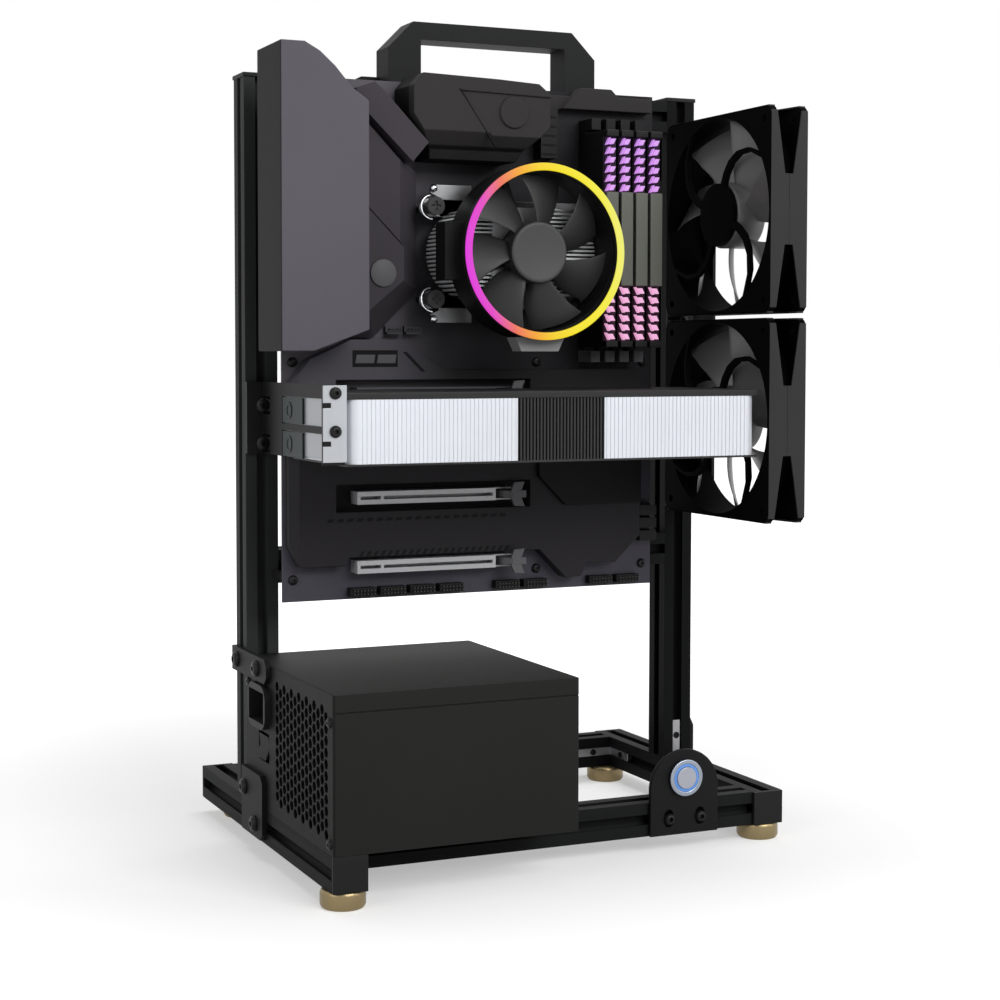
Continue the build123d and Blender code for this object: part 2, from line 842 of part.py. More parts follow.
def cooler_heatsink():
    """An extruded block of level fins with round ends, on a thick base."""
    base_side = processor_side / 2 + base_margin
    outline = Plane.XZ * Pos(sink_x, cooler_z) * SlotOverall(sink_length, sink_height)
    sink = Pos(0, fin_back, 0) * extrude(outline, amount=fin_length)
    count = int(sink_height / fin_pitch)
    reach = sink_length / 2
    gaps = []
    for index in range(count):
        level = cooler_z + (index - (count - 1) / 2) * fin_pitch
        gap = (level - fin_gap / 2, level + fin_gap / 2)
        gaps.append(block((sink_x - reach, sink_x - fin_core / 2), (fin_front, fin_back), gap))
        gaps.append(block((sink_x + fin_core / 2, sink_x + reach), (fin_front, fin_back), gap))
    return sink - gaps + block((cooler_x - base_side, cooler_x + base_side), (fin_back, processor_face),
                               (cooler_z - base_side, cooler_z + base_side))


def cooler_arms():
    """A stamped plate under the fins: a frame round the base and two bars out to the screws."""
    depth = (fin_back, fin_back + arm_plate)
    hub = processor_side / 2 + base_margin + running_gap
    reach = (spread_x[0] - arm_ear, spread_x[1] + arm_ear)
    arms = block((cooler_x - hub - arm_ear, cooler_x + hub + arm_ear), depth, tuple(spread_z))
    for z in spread_z:
        arms += block(reach, depth, (z - arm_ear, z + arm_ear))
    arms -= block((cooler_x - hub, cooler_x + hub), depth, (cooler_z - hub, cooler_z + hub))
    for x in spread_x:
        for z in spread_z:
            arms -= rod_y(x, z, screw_shank + hole_clearance, *depth)
    return arms


def cooler_screws():
    """Shouldered screws with broad cross-slotted heads, sprung down on the ears."""
    pieces = []
    seat = fin_back - screw_lift
    face = seat - screw_head_height
    slot = (face, face + cross_depth)
    for x in spread_x:
        for z in spread_z:
            screw = rod_y(x, z, screw_head_diameter / 2, face, seat)
            for wide, tall in ((cross_length, cross_width), (cross_width, cross_length)):
                screw -= block((x - wide / 2, x + wide / 2), slot, (z - tall / 2, z + tall / 2))
            screw += rod_y(x, z, screw_spring, seat, fin_back)
            pieces.append(screw + rod_y(x, z, screw_shank, fin_back, board_front))
    return group(pieces)


shroud_front = fin_front - shroud_depth
ring_front = shroud_front - ring_depth


def spider_z(radius, bore, thickness, arms, width, sweep):
    """A motor plate with curved arms out to a bore, lying on the XY plane, and a bearing stub above it."""
    plate_and_arms = Pos(0, 0, thickness / 2) * Cylinder(radius, thickness)
    stations = [step / 5 for step in range(6)]
    for index in range(arms):
        sides = ([], [])
        for part in stations:
            reach = radius - overlap + part * (bore - radius + 2 * overlap)
            turn = radians(360 / arms * index + 20 + sweep * part * part)
            lead = width / 2 / reach
            for side, angle in zip(sides, (turn - lead, turn + lead)):
                side.append((reach * cos(angle), reach * sin(angle)))
        plate_and_arms += slab_z(sides[0] + sides[1][::-1], 0, thickness)
    return plate_and_arms + Pos(0, 0, thickness + stub_length / 2) * Cylinder(stub_radius, stub_length)


def rotor_z(hub, tip, depth, count, pitch_root, pitch_tip, sweep):
    """A hub on the XY plane with broad, twisted and swept blades lofted from root to tip."""
    rotor = Pos(0, 0, depth / 2) * Cylinder(hub, depth)
    middle = (hub + tip) / 2
    stations = [(hub - overlap, pitch_root, 0.0), (middle, (pitch_root + pitch_tip) / 2, sweep * 0.4),
                (tip + overlap, pitch_tip, sweep)]
    room = depth - blade_thickness
    for index in range(count):
        sections = []
        for radius, pitch, lag in stations:
            turn = radians(360 / count * index - lag)
            chord = min(room / sin(radians(pitch)), blade_cover * 2 * pi * radius / count)
            plane = Plane(origin=(radius * cos(turn), radius * sin(turn), depth / 2),
                          x_dir=(-sin(turn), cos(turn), 0), z_dir=(cos(turn), sin(turn), 0))
            sections.append(plane * Rot(0, 0, pitch) * Rectangle(chord, blade_thickness))
        rotor += loft(sections, ruled=True)
    rotor &= Pos(0, 0, depth / 2) * Cylinder(tip, depth)
    bearing = Cylinder(stub_radius + stub_clearance, stub_length + running_gap)
    return rotor - Pos(0, 0, stub_length / 2 + running_gap / 2) * bearing


def facing_front(piece, front_face, x, z):
    """Turns a piece made on the XY plane so that its top faces the front."""
    return Pos(x, front_face, z) * Rot(90, 0, 0) * piece



def facing_down(piece, face, x, y):
    """Turns a piece made on the XY plane so that its top faces down."""
    return Pos(x, y, face) * Rot(180, 0, 0) * piece


def cooler_shroud():
    """A round duct with a motor plate on arms, a flat tab at the left and a cable box below."""
    depths = (shroud_front, fin_front)
    bore = rod_y(cooler_x, cooler_z, shroud_bore, *depths)
    duct = rod_y(cooler_x, cooler_z, shroud_radius, *depths)
    rise = shroud_tab_height / 2
    duct += block((cooler_x - shroud_tab_reach, cooler_x), (fin_front - shroud_tab_depth, fin_front),
                  (cooler_z - rise, cooler_z + rise))
    low, seat = cooler_z - shroud_radius - cable_box_drop, cooler_z - shroud_bore - spider
    box = [(cooler_x - cable_box, low), (cooler_x + cable_box, low), (cooler_x + cable_box + 4.0, seat),
           (cooler_x - cable_box - 4.0, seat)]
    duct += slab_y(box, shroud_front + spider, shroud_front + cable_box + spider)
    motor = spider_z(cooler_hub_radius - overlap, shroud_bore, spider, 4, spider_width, 0)
    return duct - bore + facing_front(motor, fin_front, cooler_x, cooler_z)


def cooler_light_ring():
    ring = rod_y(cooler_x, cooler_z, ring_radius, ring_front, shroud_front)
    ring -= rod_y(cooler_x, cooler_z, ring_bore, ring_front, shroud_front)
    return ring


def cooler_rotor():
    rotor = rotor_z(cooler_hub_radius, cooler_tip_radius, cooler_rotor_depth, 7, 36, 20, 34)
    return facing_front(rotor, fin_front - spider - running_gap, cooler_x, cooler_z)


# Graphics card
holder_right = board_left - holder_clearance
card_left = holder_right + card_bracket + card_clearance
card_right = card_left + card_length
card_back = board_front - card_gap
card_front = card_back - card_depth
board_low = card_level - card_board / 2
board_high = card_level + card_board / 2
fin_high = board_low - overlap / 10
fin_low = fin_high - fin_stack_height
stack_spans = [(card_left, card_left + fin_stack_length), (card_right - fin_stack_length, card_right)]
card_fan_spots = [((low + high) / 2, (card_front + card_back) / 2) for low, high in stack_spans]
card_recess = card_rotor_depth + spider + 2 * running_gap


def gpu_board():
    """The card's circuit board with its keyed contact tongue in the upper slot."""
    levels = (board_low, board_high)
    board = block((card_left + card_board_inset, card_right - card_board_inset),
                  (card_front + 2 * card_board_inset, card_back), levels)
    tongue = (card_back, board_front - slot_height + tongue_depth)
    key = slot_left + slot_key
    board += block((slot_left + tongue_inset, slot_left + slot_length - tongue_inset), tongue, levels)
    return board - block((key - running_gap, key + slot_key_width + running_gap),
                         (tongue[0] + overlap, tongue[1]), levels)


def gpu_backplate():
    """A folded plate over the board, with a lip down its front edge."""
    top = board_high + backplate_gap + backplate
    sheet = block((card_left, card_right), (card_front, card_back), (top - backplate, top))
    return sheet + block((card_left, card_right), (card_front, card_front + lip_thickness), (fin_high, top))


def gpu_fin_stacks():
    """Two stacks of upright fins, grooved along the front, with a fan motor in a recess below."""
    pieces = []
    for (low, high), (x, y), outer in zip(stack_spans, card_fan_spots, (card_left, card_right)):
        stack = block((low, high), (card_front, card_back), (fin_low, fin_high))
        corner = stack.edges().filter_by(Axis.Z).sort_by_distance((outer, card_front, fin_low))[0]
        stack = fillet(corner, card_corner)
        count = int((high - low) / card_fin_pitch)
        groove = (card_front, card_front + card_fin_groove)
        gaps = []
        for index in range(count):
            middle = low + (index + 0.5) * (high - low) / count
            gap = (middle - card_fin_gap / 2, middle + card_fin_gap / 2)
            if abs(middle - outer) > card_corner:
                gaps.append(block(gap, groove, (fin_low, fin_high)))
        roof = fin_low + card_recess
        stack = stack - gaps - rod_z(x, y, card_rotor_radius + mouth_clearance, fin_low, roof)
        stack += rod_z(x, y, card_hub_radius - overlap, roof - spider, roof)
        pieces.append(stack + rod_z(x, y, stub_radius, roof - spider - stub_length, roof - spider))
    return group(pieces)


def gpu_shroud():
    """The lower plate with two fan mouths, joined to the ribbed block in the middle."""
    low = fin_low - bottom_plate
    shroud = block((card_left, card_right), (card_front, card_back), (low, fin_low))
    for x, y in card_fan_spots:
        shroud -= rod_z(x, y, card_rotor_radius + mouth_clearance, low, fin_low)
    middle = (stack_spans[0][1], stack_spans[1][0])
    groove = (card_front, card_front + rib_groove)
    gaps = []
    for index in range(rib_count):
        x = middle[0] + (index + 0.5) * (middle[1] - middle[0]) / rib_count
        gaps.append(block((x - rib_gap / 2, x + rib_gap / 2), groove, (fin_low, fin_high)))
    return shroud + (block(middle, (card_front, card_back), (fin_low, fin_high)) - gaps)


def gpu_rotor(spot):
    x, y = spot
    rotor = rotor_z(card_hub_radius, card_rotor_radius, card_rotor_depth, 9, 36, 28, 24)
    return facing_down(rotor, fin_low + card_recess - spider - running_gap, x, y)


bracket_left = holder_right
bracket_right = bracket_left + card_bracket
bracket_low = card_level - bracket_drop
bracket_high = card_level + bracket_rise
tab_levels = [card_level + tab_screw_rise, card_level + tab_screw_rise - slot_pitch]
tab_x = card_left - bracket_tab / 2


def gpu_bracket():
    """The card's bright port bracket, folded to the left at the front for its two screws."""
    levels = (bracket_low, bracket_high)
    depth = (card_front - card_bracket, card_front)
    tab_left = bracket_right - bracket_tab
    piece = block((bracket_left, bracket_right), (card_front, board_front - bracket_end), levels)
    piece += block((tab_left, bracket_right), depth, levels)
    for level in tab_levels:
        piece -= rod_y(tab_x, level, small_shank_diameter / 2 + hole_clearance, *depth)
        notch = level - 2 * tab_notch_height
        piece -= block((tab_left, tab_left + tab_notch), depth, (notch - tab_notch_height, notch))
    return piece


def gpu_holder():
    """A folded plate from the left post to the card's bracket, with one window for each slot."""
    right = bracket_left
    left = right - holder_plate
    levels = (bracket_low - holder_plate, bracket_high)
    sheet = block((left, right), (card_front, post_front), levels)
    for step in range(2):
        level = card_level - holder_window_drop - step * holder_window_pitch
        sheet -= block((left, right), (card_front + holder_border, board_front - holder_back),
                       (level - holder_window, level + holder_window))
    seat = post_front - plate
    foot = block((-half, right), (seat, post_front), levels)
    depth = (card_front, card_front + holder_plate)
    lip = block((bracket_right - bracket_tab, right), depth, levels)
    for level in holder_levels:
        sheet -= rod_y(-post_slot, level, bolt_head_diameter / 2 + running_gap, seat - bolt_access, seat)
    piece = sheet + foot + lip
    for level in holder_levels:
        piece -= rod_y(-post_slot, level, bolt_diameter / 2 + hole_clearance, seat, post_front)
    for level in tab_levels:
        piece -= rod_y(tab_x, level, small_shank_diameter / 2 + hole_clearance, *depth)
    return piece


# Case fans
fan_left = card_right + fan_card_gap
fan_right = fan_left + fan_depth
fan_back = post_front - fan_stand_off
fan_middle = fan_back - fan_side / 2
fan_levels = [post_top - fan_top_drop - fan_side / 2]
fan_levels.append(fan_levels[0] - fan_side - fan_spacing)
fan_corners = (-fan_hole_pitch / 2, fan_hole_pitch / 2)
fan_holes = [(y, z) for y in fan_corners for z in fan_corners]


def fan_pocket():
    """A tapered hollow in the side of a fan frame, from its waist out to one corner."""
    middle, side = fan_depth / 2, fan_side / 2
    outline = [(middle - fan_waist_gap, fan_waist), (fan_flange, side), (fan_depth - fan_flange, side),
               (middle + fan_waist_gap, fan_waist)]
    return slab_y(outline, -side, 0)


def fan_frame(level):
    """A square frame round a duct, hollowed towards its corners, with a motor plate on four arms."""
    outline = Plane.YZ * RectangleRounded(fan_side, fan_side, fan_corner)
    frame = extrude(outline, amount=fan_depth)
    hollow = fan_pocket() + mirror(fan_pocket(), Plane.XY)
    duct = rod_x(0, 0, fan_bore / 2 + fan_wall, 0, fan_depth)
    for turn in range(4):
        frame -= Rot(90 * turn, 0, 0) * (hollow - duct)
    frame -= rod_x(0, 0, fan_bore / 2, 0, fan_depth)
    for y, z in fan_holes:
        frame -= rod_x(y, z, fan_hole / 2, 0, fan_depth)
    motor = spider_z(fan_hub_radius - overlap, fan_bore / 2, spider, 4, spider_width, 38)
    frame += Rot(0, 90, 0) * motor
    return Pos(fan_left, fan_middle, level) * frame


def fan_rotor(level):
    depth = fan_depth - spider - running_gap - 2 * overlap
    rotor = rotor_z(fan_hub_radius, fan_tip_radius, depth, 7, 40, 26, 30)
    return Pos(fan_left + spider + running_gap, fan_middle, level) * Rot(0, 90, 0) * rotor


fan_screw_y = fan_middle + fan_hole_pitch / 2
fan_screw_levels = [level + z for level in fan_levels for z in fan_corners]


def fan_bracket():
    """An angle from the right post to the fans' back corners."""
    levels = (fan_levels[1] - fan_side / 2, fan_levels[0] + fan_side / 2)
    right = fan_right + fan_bracket_plate
    depth = (fan_bracket_front, post_front)
    arm = block((fan_right, right), (fan_screw_y - fan_bracket_lap, post_front), levels)
    head = bolt_head_diameter / 2 + running_gap
    for level in fan_bolt_levels:
        arm -= rod_y(post_slot, level, head, fan_bracket_front - bolt_access, fan_bracket_front)
    piece = arm + block((inner, half), depth, levels) + block((post_slot, right), depth, levels)
    for level in fan_bolt_levels:
        piece -= rod_y(post_slot, level, bolt_diameter / 2 + hole_clearance, *depth)
    for level in fan_screw_levels:
        piece -= rod_x(fan_screw_y, level, fan_hole / 2, fan_right, right)
    return piece


def fan_screws():
    """Short screws that hold the fans to their bracket."""
    seat = fan_right + fan_bracket_plate
    shank = fan_hole / 2 - hole_clearance
    return group([rod_x(fan_screw_y, level, fan_screw_head, seat, seat + fan_screw_head_height)
                  + rod_x(fan_screw_y, level, shank, seat - fan_screw_length, seat)
                  for level in fan_screw_levels])


# Power supply
psu_left, psu_right = -half, -half + psu_length
psu_back, psu_front = post_front, post_front - psu_width
psu_low, psu_high = rail_top, rail_top + psu_height
psu_fan_x, psu_fan_y = (psu_left + psu_right) / 2 + psu_fan_shift, (psu_front + psu_back) / 2
inlet_middle = (psu_back - inlet_inset, psu_low + inlet_rise)
switch_middle = (psu_back - switch_inset, psu_low + switch_rise)


def psu_case():
    """A folded steel box, open to the left, with a lapped lid and a ringed fan grille in its floor."""
    wall = psu_wall
    floor = (psu_low, psu_low + wall)
    case = block((psu_left + wall, psu_right), (psu_front, psu_back), (psu_low, psu_high))
    case -= block((psu_left + wall, psu_right - wall), (psu_front + wall, psu_back - wall),
                  (psu_low + wall, psu_high - wall))
    lap = psu_high - lid_lap
    case -= block((psu_left + wall, psu_right), (psu_front, psu_front + lid_seam), (lap - lid_seam, lap))
    case -= rod_z(psu_fan_x, psu_fan_y, psu_fan_radius, *floor)
    for radius in (psu_fan_radius * 0.54, psu_fan_radius * 0.76):
        ring = rod_z(psu_fan_x, psu_fan_y, radius + wall, *floor)
        case += ring - rod_z(psu_fan_x, psu_fan_y, radius - wall, *floor)
    motor = spider_z(psu_hub_radius - overlap, psu_fan_radius, wall, 4, spider_width, 0)
    return case + Pos(psu_fan_x, psu_fan_y, psu_low) * motor


def psu_rear_panel():
    """The left end of the case, with staggered six-sided vents, the inlet and the switch openings."""
    panel = block((psu_left, psu_left + psu_wall), (psu_front, psu_back), (psu_low, psu_high))
    first_y = psu_front + grille_inset
    middle_z = (psu_low + psu_high) / 2
    vent = RegularPolygon(grille_hole / 2, 6, major_radius=False)
    openings = [Pos(*inlet_middle) * Rectangle(inlet_width, inlet_height),
                Pos(*switch_middle) * Rectangle(switch_width, switch_height)]
    for column in range(grille_columns):
        stagger = grille_pitch_z * (column % 2 / 2 - 0.25)
        for row in range(grille_rows):
            z = middle_z + (row - (grille_rows - 1) / 2) * grille_pitch_z + stagger
            openings.append(Pos(first_y + column * grille_pitch_y, z) * vent)
    sheet = Plane.YZ.offset(psu_left) * Sketch(children=openings)
    return panel - extrude(sheet, amount=psu_wall)


def psu_inlet():
    """A moulded three-pin inlet with a rounded collar outside the panel and an open mouth."""
    y, z = inlet_middle
    outer = psu_left - inlet_collar_depth
    body = Pos(psu_left + inlet_depth / 2, y, z) * Box(inlet_depth, inlet_width, inlet_height)
    rim = RectangleRounded(inlet_width + 2 * inlet_collar, inlet_height + 2 * inlet_collar, inlet_corner)
    body += extrude(Plane.YZ.offset(outer) * Pos(y, z) * rim, amount=inlet_collar_depth)
    mouth = Rectangle(inlet_mouth_width, inlet_mouth_height)
    reach = inlet_collar_depth + inlet_mouth_depth
    body -= extrude(Plane.YZ.offset(outer) * Pos(y, z) * mouth, amount=reach)
    for side, step in ((-1, -pin_step), (0, pin_step), (1, -pin_step)):
        pin = Rectangle(pin_step, 2 * pin_step)
        pin_place = Plane.YZ.offset(psu_left + pin_back) * Pos(y + side * pin_reach, z + step)
        body += extrude(pin_place * pin, amount=inlet_mouth_depth - pin_back + overlap)
    return body


def psu_switch():
    """A rocker with two shallow slopes, at rest with its lower end pressed in."""
    y, z = switch_middle
    high = switch_height / 2 - switch_gap - overlap
    wide = switch_width / 2 - switch_gap
    depth = switch_height / 3
    rocker = [(depth, -high / 2), (-overlap, -high), (switch_gap, 0.0), (-overlap, high), (depth, high / 2)]
    outline = Polyline(*[(x, -wide, height) for x, height in rocker], close=True)
    piece = extrude(make_face(outline), amount=2 * wide, dir=(0, 1, 0))
    return Pos(psu_left, y, z) * Rot(0, switch_tilt, 0) * piece


def psu_rotor():
    rotor = rotor_z(psu_hub_radius, psu_fan_radius - spider, psu_rotor_depth, 7, 40, 28, 30)
    return Pos(psu_fan_x, psu_fan_y, psu_low + psu_wall + running_gap) * rotor


# Power button
def button_plate():
    """An upright plate with a round top on the front rail, slotted for two bolts."""
    radius = button_plate_width / 2
    top = rail_bottom + button_plate_height
    bore = button_barrel_diameter / 2 + hole_clearance
    depth = (button_plate_front, front_rail_front)
    piece = block((button_x - radius, button_x + radius), depth, (rail_bottom, top - radius))
    piece += rod_y(button_x, top - radius, radius, *depth)
    piece -= rod_y(button_x, rail_bottom + button_rise, bore, *depth)
    for x in button_slots:
        slot = SlotCenterToCenter(button_slot, bolt_diameter + 2 * hole_clearance, rotation=90)
        hole = extrude(Plane.XZ * Pos(x, slot_level) * slot, amount=plate)
        piece -= Pos(0, front_rail_front, 0) * hole
    return piece


button_level = rail_bottom + button_rise
button_face = button_plate_front - button_proud
cap_radius = button_cap_diameter / 2
ring_inner = cap_radius + button_cap_gap
ring_back = button_face + button_ring_depth
bore_back = button_face + button_bore_depth


def button_bezel():
    """A turned barrel with a broad rim, bored for the lit ring and the cap."""
    bezel = rod_y(button_x, button_level, button_bezel_diameter / 2, button_face, button_plate_front)
    bezel += rod_y(button_x, button_level, button_barrel_diameter / 2, button_plate_front,
                   button_plate_front + button_barrel_length)
    bezel -= rod_y(button_x, button_level, button_ring_diameter / 2, button_face, ring_back)
    return bezel - rod_y(button_x, button_level, ring_inner, button_face, bore_back)


def button_ring():
    ring = rod_y(button_x, button_level, button_ring_diameter / 2, button_face, ring_back)
    return ring - rod_y(button_x, button_level, ring_inner, button_face, ring_back)


def button_cap():
    """The pressed cap, which leaves its travel free below it."""
    return rod_y(button_x, button_level, cap_radius, button_face - button_cap_proud,
                 bore_back - button_travel - running_gap)


rail_back = base_back - cap_thickness
nodes = {
    "left_post": Pos(-post_slot, post_middle, rail_top) * extrusion(post_length),
    "right_post": Pos(post_slot, post_middle, rail_top) * extrusion(post_length),
    "left_base_rail": rail_y(base_front + cap_thickness, rail_back, -post_slot, slot_level),
    "right_base_rail": rail_y(right_front + cap_thickness, rail_back, post_slot, slot_level),
    "front_base_rail": rail_x(-inner, inner, front_rail_front + rail / 2, slot_level),
    "rear_base_rail": rail_x(-inner, inner, rail_back - rail / 2, slot_level),
    "upper_cross_rail": rail_x(-inner, inner, post_middle, upper_rail_middle),
    "lower_cross_rail": rail_x(-inner, inner, post_middle, lower_rail_middle),
    "end_caps": end_caps(),
    "levelling_feet": levelling_feet(),
    "joining_plates": joining_plates(),
    "slot_connectors": slot_connectors(),
    "frame_bolts": frame_bolts(),
    "carry_handle": carry_handle(),
    "board_standoffs": board_standoffs(),
    "motherboard": motherboard(),
    "io_cover": io_cover(),
    "vrm_heatsink_left": vrm_heatsink_left(),
    "vrm_heatsink_top": vrm_heatsink_top(),
    "expansion_armour": expansion_armour(),
    "chipset_cover": chipset_cover(),
    "board_sockets": board_sockets(),
    "memory_modules": memory_modules(),
    "memory_light_bars": memory_light_bars(),
    "processor": processor(),
    "cooler_heatsink": cooler_heatsink(),
    "cooler_arms": cooler_arms(),
    "cooler_screws": cooler_screws(),
    "cooler_shroud": cooler_shroud(),
    "cooler_light_ring": cooler_light_ring(),
    "cooler_rotor": cooler_rotor(),
    "gpu_board": gpu_board(),
    "gpu_backplate": gpu_backplate(),
    "gpu_fin_stacks": gpu_fin_stacks(),
    "gpu_shroud": gpu_shroud(),
    "gpu_rotor_left": gpu_rotor(card_fan_spots[0]),
    "gpu_rotor_right": gpu_rotor(card_fan_spots[1]),
    "gpu_bracket": gpu_bracket(),
    "gpu_holder": gpu_holder(),
    "fan_bracket": fan_bracket(),
    "fan_screws": fan_screws(),
    "psu_case": psu_case(),
    "psu_rear_panel": psu_rear_panel(),
    "psu_inlet": psu_inlet(),
    "psu_switch": psu_switch(),
    "psu_rotor": psu_rotor(),
    "button_plate": button_plate(),
    "button_bezel": button_bezel(),
    "button_ring": button_ring(),
    "button_cap": button_cap(),
}
for name, level in zip(("upper", "middle", "lower"), slot_levels):
    nodes["expansion_slot_" + name] = expansion_slot(level)
    nodes["slot_latch_" + name] = slot_latch(level)
for name, level in zip(("upper", "lower"), fan_levels):
    nodes["fan_frame_" + name] = fan_frame(level)
    nodes["fan_rotor_" + name] = fan_rotor(level)

os.makedirs("parts", exist_ok=True)
for name, piece in nodes.items():
    export_step(piece, os.path.join("parts", name + ".step"))
print("nodes", len(nodes))
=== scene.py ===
from math import radians

import bmesh
import bpy
import numpy as np
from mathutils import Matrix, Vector


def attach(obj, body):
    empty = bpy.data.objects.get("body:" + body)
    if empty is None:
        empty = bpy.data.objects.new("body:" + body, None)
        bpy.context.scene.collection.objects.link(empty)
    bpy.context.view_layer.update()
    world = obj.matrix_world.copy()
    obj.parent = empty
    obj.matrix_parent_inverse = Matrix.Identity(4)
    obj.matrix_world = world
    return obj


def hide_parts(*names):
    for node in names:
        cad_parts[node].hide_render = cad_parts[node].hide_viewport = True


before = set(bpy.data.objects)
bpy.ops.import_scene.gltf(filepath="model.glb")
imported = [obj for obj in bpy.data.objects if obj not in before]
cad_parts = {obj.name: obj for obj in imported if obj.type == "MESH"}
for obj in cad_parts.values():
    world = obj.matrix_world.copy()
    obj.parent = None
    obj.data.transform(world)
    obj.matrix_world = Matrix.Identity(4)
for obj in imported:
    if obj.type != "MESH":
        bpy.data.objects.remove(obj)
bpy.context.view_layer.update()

# The camera stands to the left of the bench, a little above its middle, with a long lens.
# Its place, turn and shift give the photograph's view of the frame's corners.
camera_data = bpy.data.cameras.new("camera")
camera_data.sensor_width = 36.0
camera_data.lens = 68.79
camera_data.shift_x = 0.0513
camera_data.shift_y = -0.0513
camera_data.clip_end = 60.0
camera = bpy.data.objects.new("camera", camera_data)
camera.location = (-0.49097, -1.05974, 0.29544)
camera.rotation_euler = (radians(87.14), 0.0, radians(-23.38))
bpy.context.scene.collection.objects.link(camera)
bpy.context.scene.camera = camera
bpy.context.scene.view_settings.view_transform = "Standard"

# The studio: a white surround and four soft lamps, a broad one over the right front, a
# weaker one at each side and a strip above that draws the upper faces.
world = bpy.data.worlds.new("studio")
bpy.context.scene.world = world
world.use_nodes = True
sky = world.node_tree


def background_seen(tree):
    """One where a ray comes straight from the camera, off a mirror or through glass, else zero."""
    paths = tree.nodes.new("ShaderNodeLightPath")
    last = paths.outputs["Is Camera Ray"]
    for kind in ("Is Glossy Ray", "Is Transmission Ray"):
        either = tree.nodes.new("ShaderNodeMath")
        either.operation = "MAXIMUM"
        tree.links.new(last, either.inputs[0])
        tree.links.new(paths.outputs[kind], either.inputs[1])
        last = either.outputs[0]
    return last


sky_level = sky.nodes.new("ShaderNodeMapRange")
sky_level.inputs["To Min"].default_value = 0.22
sky_level.inputs["To Max"].default_value = 1.0
sky.links.new(background_seen(sky), sky_level.inputs["Value"])
sky.nodes["Background"].inputs["Color"].default_value = (1.0, 1.0, 1.0, 1.0)
sky.links.new(sky_level.outputs["Result"], sky.nodes["Background"].inputs["Strength"])


def soft_lamp(name, place, aim, width, height, watts):
    """A flat lamp of width by height metres at place, turned so that it faces aim."""
    data = bpy.data.lights.new(name, "AREA")
    data.shape = "RECTANGLE"
    data.size = width
    data.size_y = height
    data.energy = watts
    lamp = bpy.data.objects.new(name, data)
    lamp.location = place
    lamp.rotation_euler = (lamp.location - Vector(aim)).to_track_quat("Z", "Y").to_euler()
    bpy.context.scene.collection.objects.link(lamp)


soft_lamp("lamp_front", (0.55, -2.2, 1.5), (0.0, 0.0, 0.25), width=1.6, height=1.2, watts=45.0)
soft_lamp("lamp_left", (-1.7, -0.9, 0.9), (0.0, 0.0, 0.3), width=1.0, height=1.2, watts=10.0)
soft_lamp("lamp_right", (1.8, -1.2, 1.0), (0.0, 0.0, 0.25), width=1.0, height=1.4, watts=10.0)
soft_lamp("lamp_over", (0.1, 0.3, 2.2), (0.0, 0.0, 0.3), width=1.6, height=0.8, watts=18.0)

# The floor is one wide pale sheet just under the feet. It keeps the bench's soft shadow,
# and away from the bench a light of its own brings it to the white of the surround.
floor_mesh = bpy.data.meshes.new("floor")
floor_half = 30.0
floor_corners = [(floor_half * x, floor_half * y, 0.0) for x, y in ((-1, -1), (1, -1), (1, 1), (-1, 1))]
floor_mesh.from_pydata(floor_corners, [], [(0, 1, 2, 3)])
floor = bpy.data.objects.new("floor", floor_mesh)
bpy.context.scene.collection.objects.link(floor)
floor_pale = bpy.data.materials.new("floor_pale")
floor_pale.use_nodes = True
floor_tree = floor_pale.node_tree
floor_shader = floor_tree.nodes["Principled BSDF"]
floor_shader.inputs["Base Color"].default_value = (0.6, 0.6, 0.6, 1.0)
floor_shader.inputs["Roughness"].default_value = 0.9
floor_shader.inputs["Specular IOR Level"].default_value = 0.0
floor_shader.inputs["Emission Color"].default_value = (1.0, 1.0, 1.0, 1.0)
floor_where = floor_tree.nodes.new("ShaderNodeTexCoord")
floor_far = floor_tree.nodes.new("ShaderNodeVectorMath")
floor_far.operation = "LENGTH"
floor_tree.links.new(floor_where.outputs["Object"], floor_far.inputs[0])
floor_rise = floor_tree.nodes.new("ShaderNodeMapRange")
floor_rise.interpolation_type = "SMOOTHSTEP"
floor_rise.inputs["From Min"].default_value = 0.2
floor_rise.inputs["From Max"].default_value = 0.9
floor_rise.inputs["To Min"].default_value = 0.42
floor_rise.inputs["To Max"].default_value = 1.0
floor_tree.links.new(floor_far.outputs["Value"], floor_rise.inputs["Value"])
floor_glow = floor_tree.nodes.new("ShaderNodeMath")
floor_glow.operation = "MULTIPLY"
floor_tree.links.new(background_seen(floor_tree), floor_glow.inputs[0])
floor_tree.links.new(floor_rise.outputs["Result"], floor_glow.inputs[1])
floor_tree.links.new(floor_glow.outputs[0], floor_shader.inputs["Emission Strength"])
floor_mesh.materials.append(floor_pale)


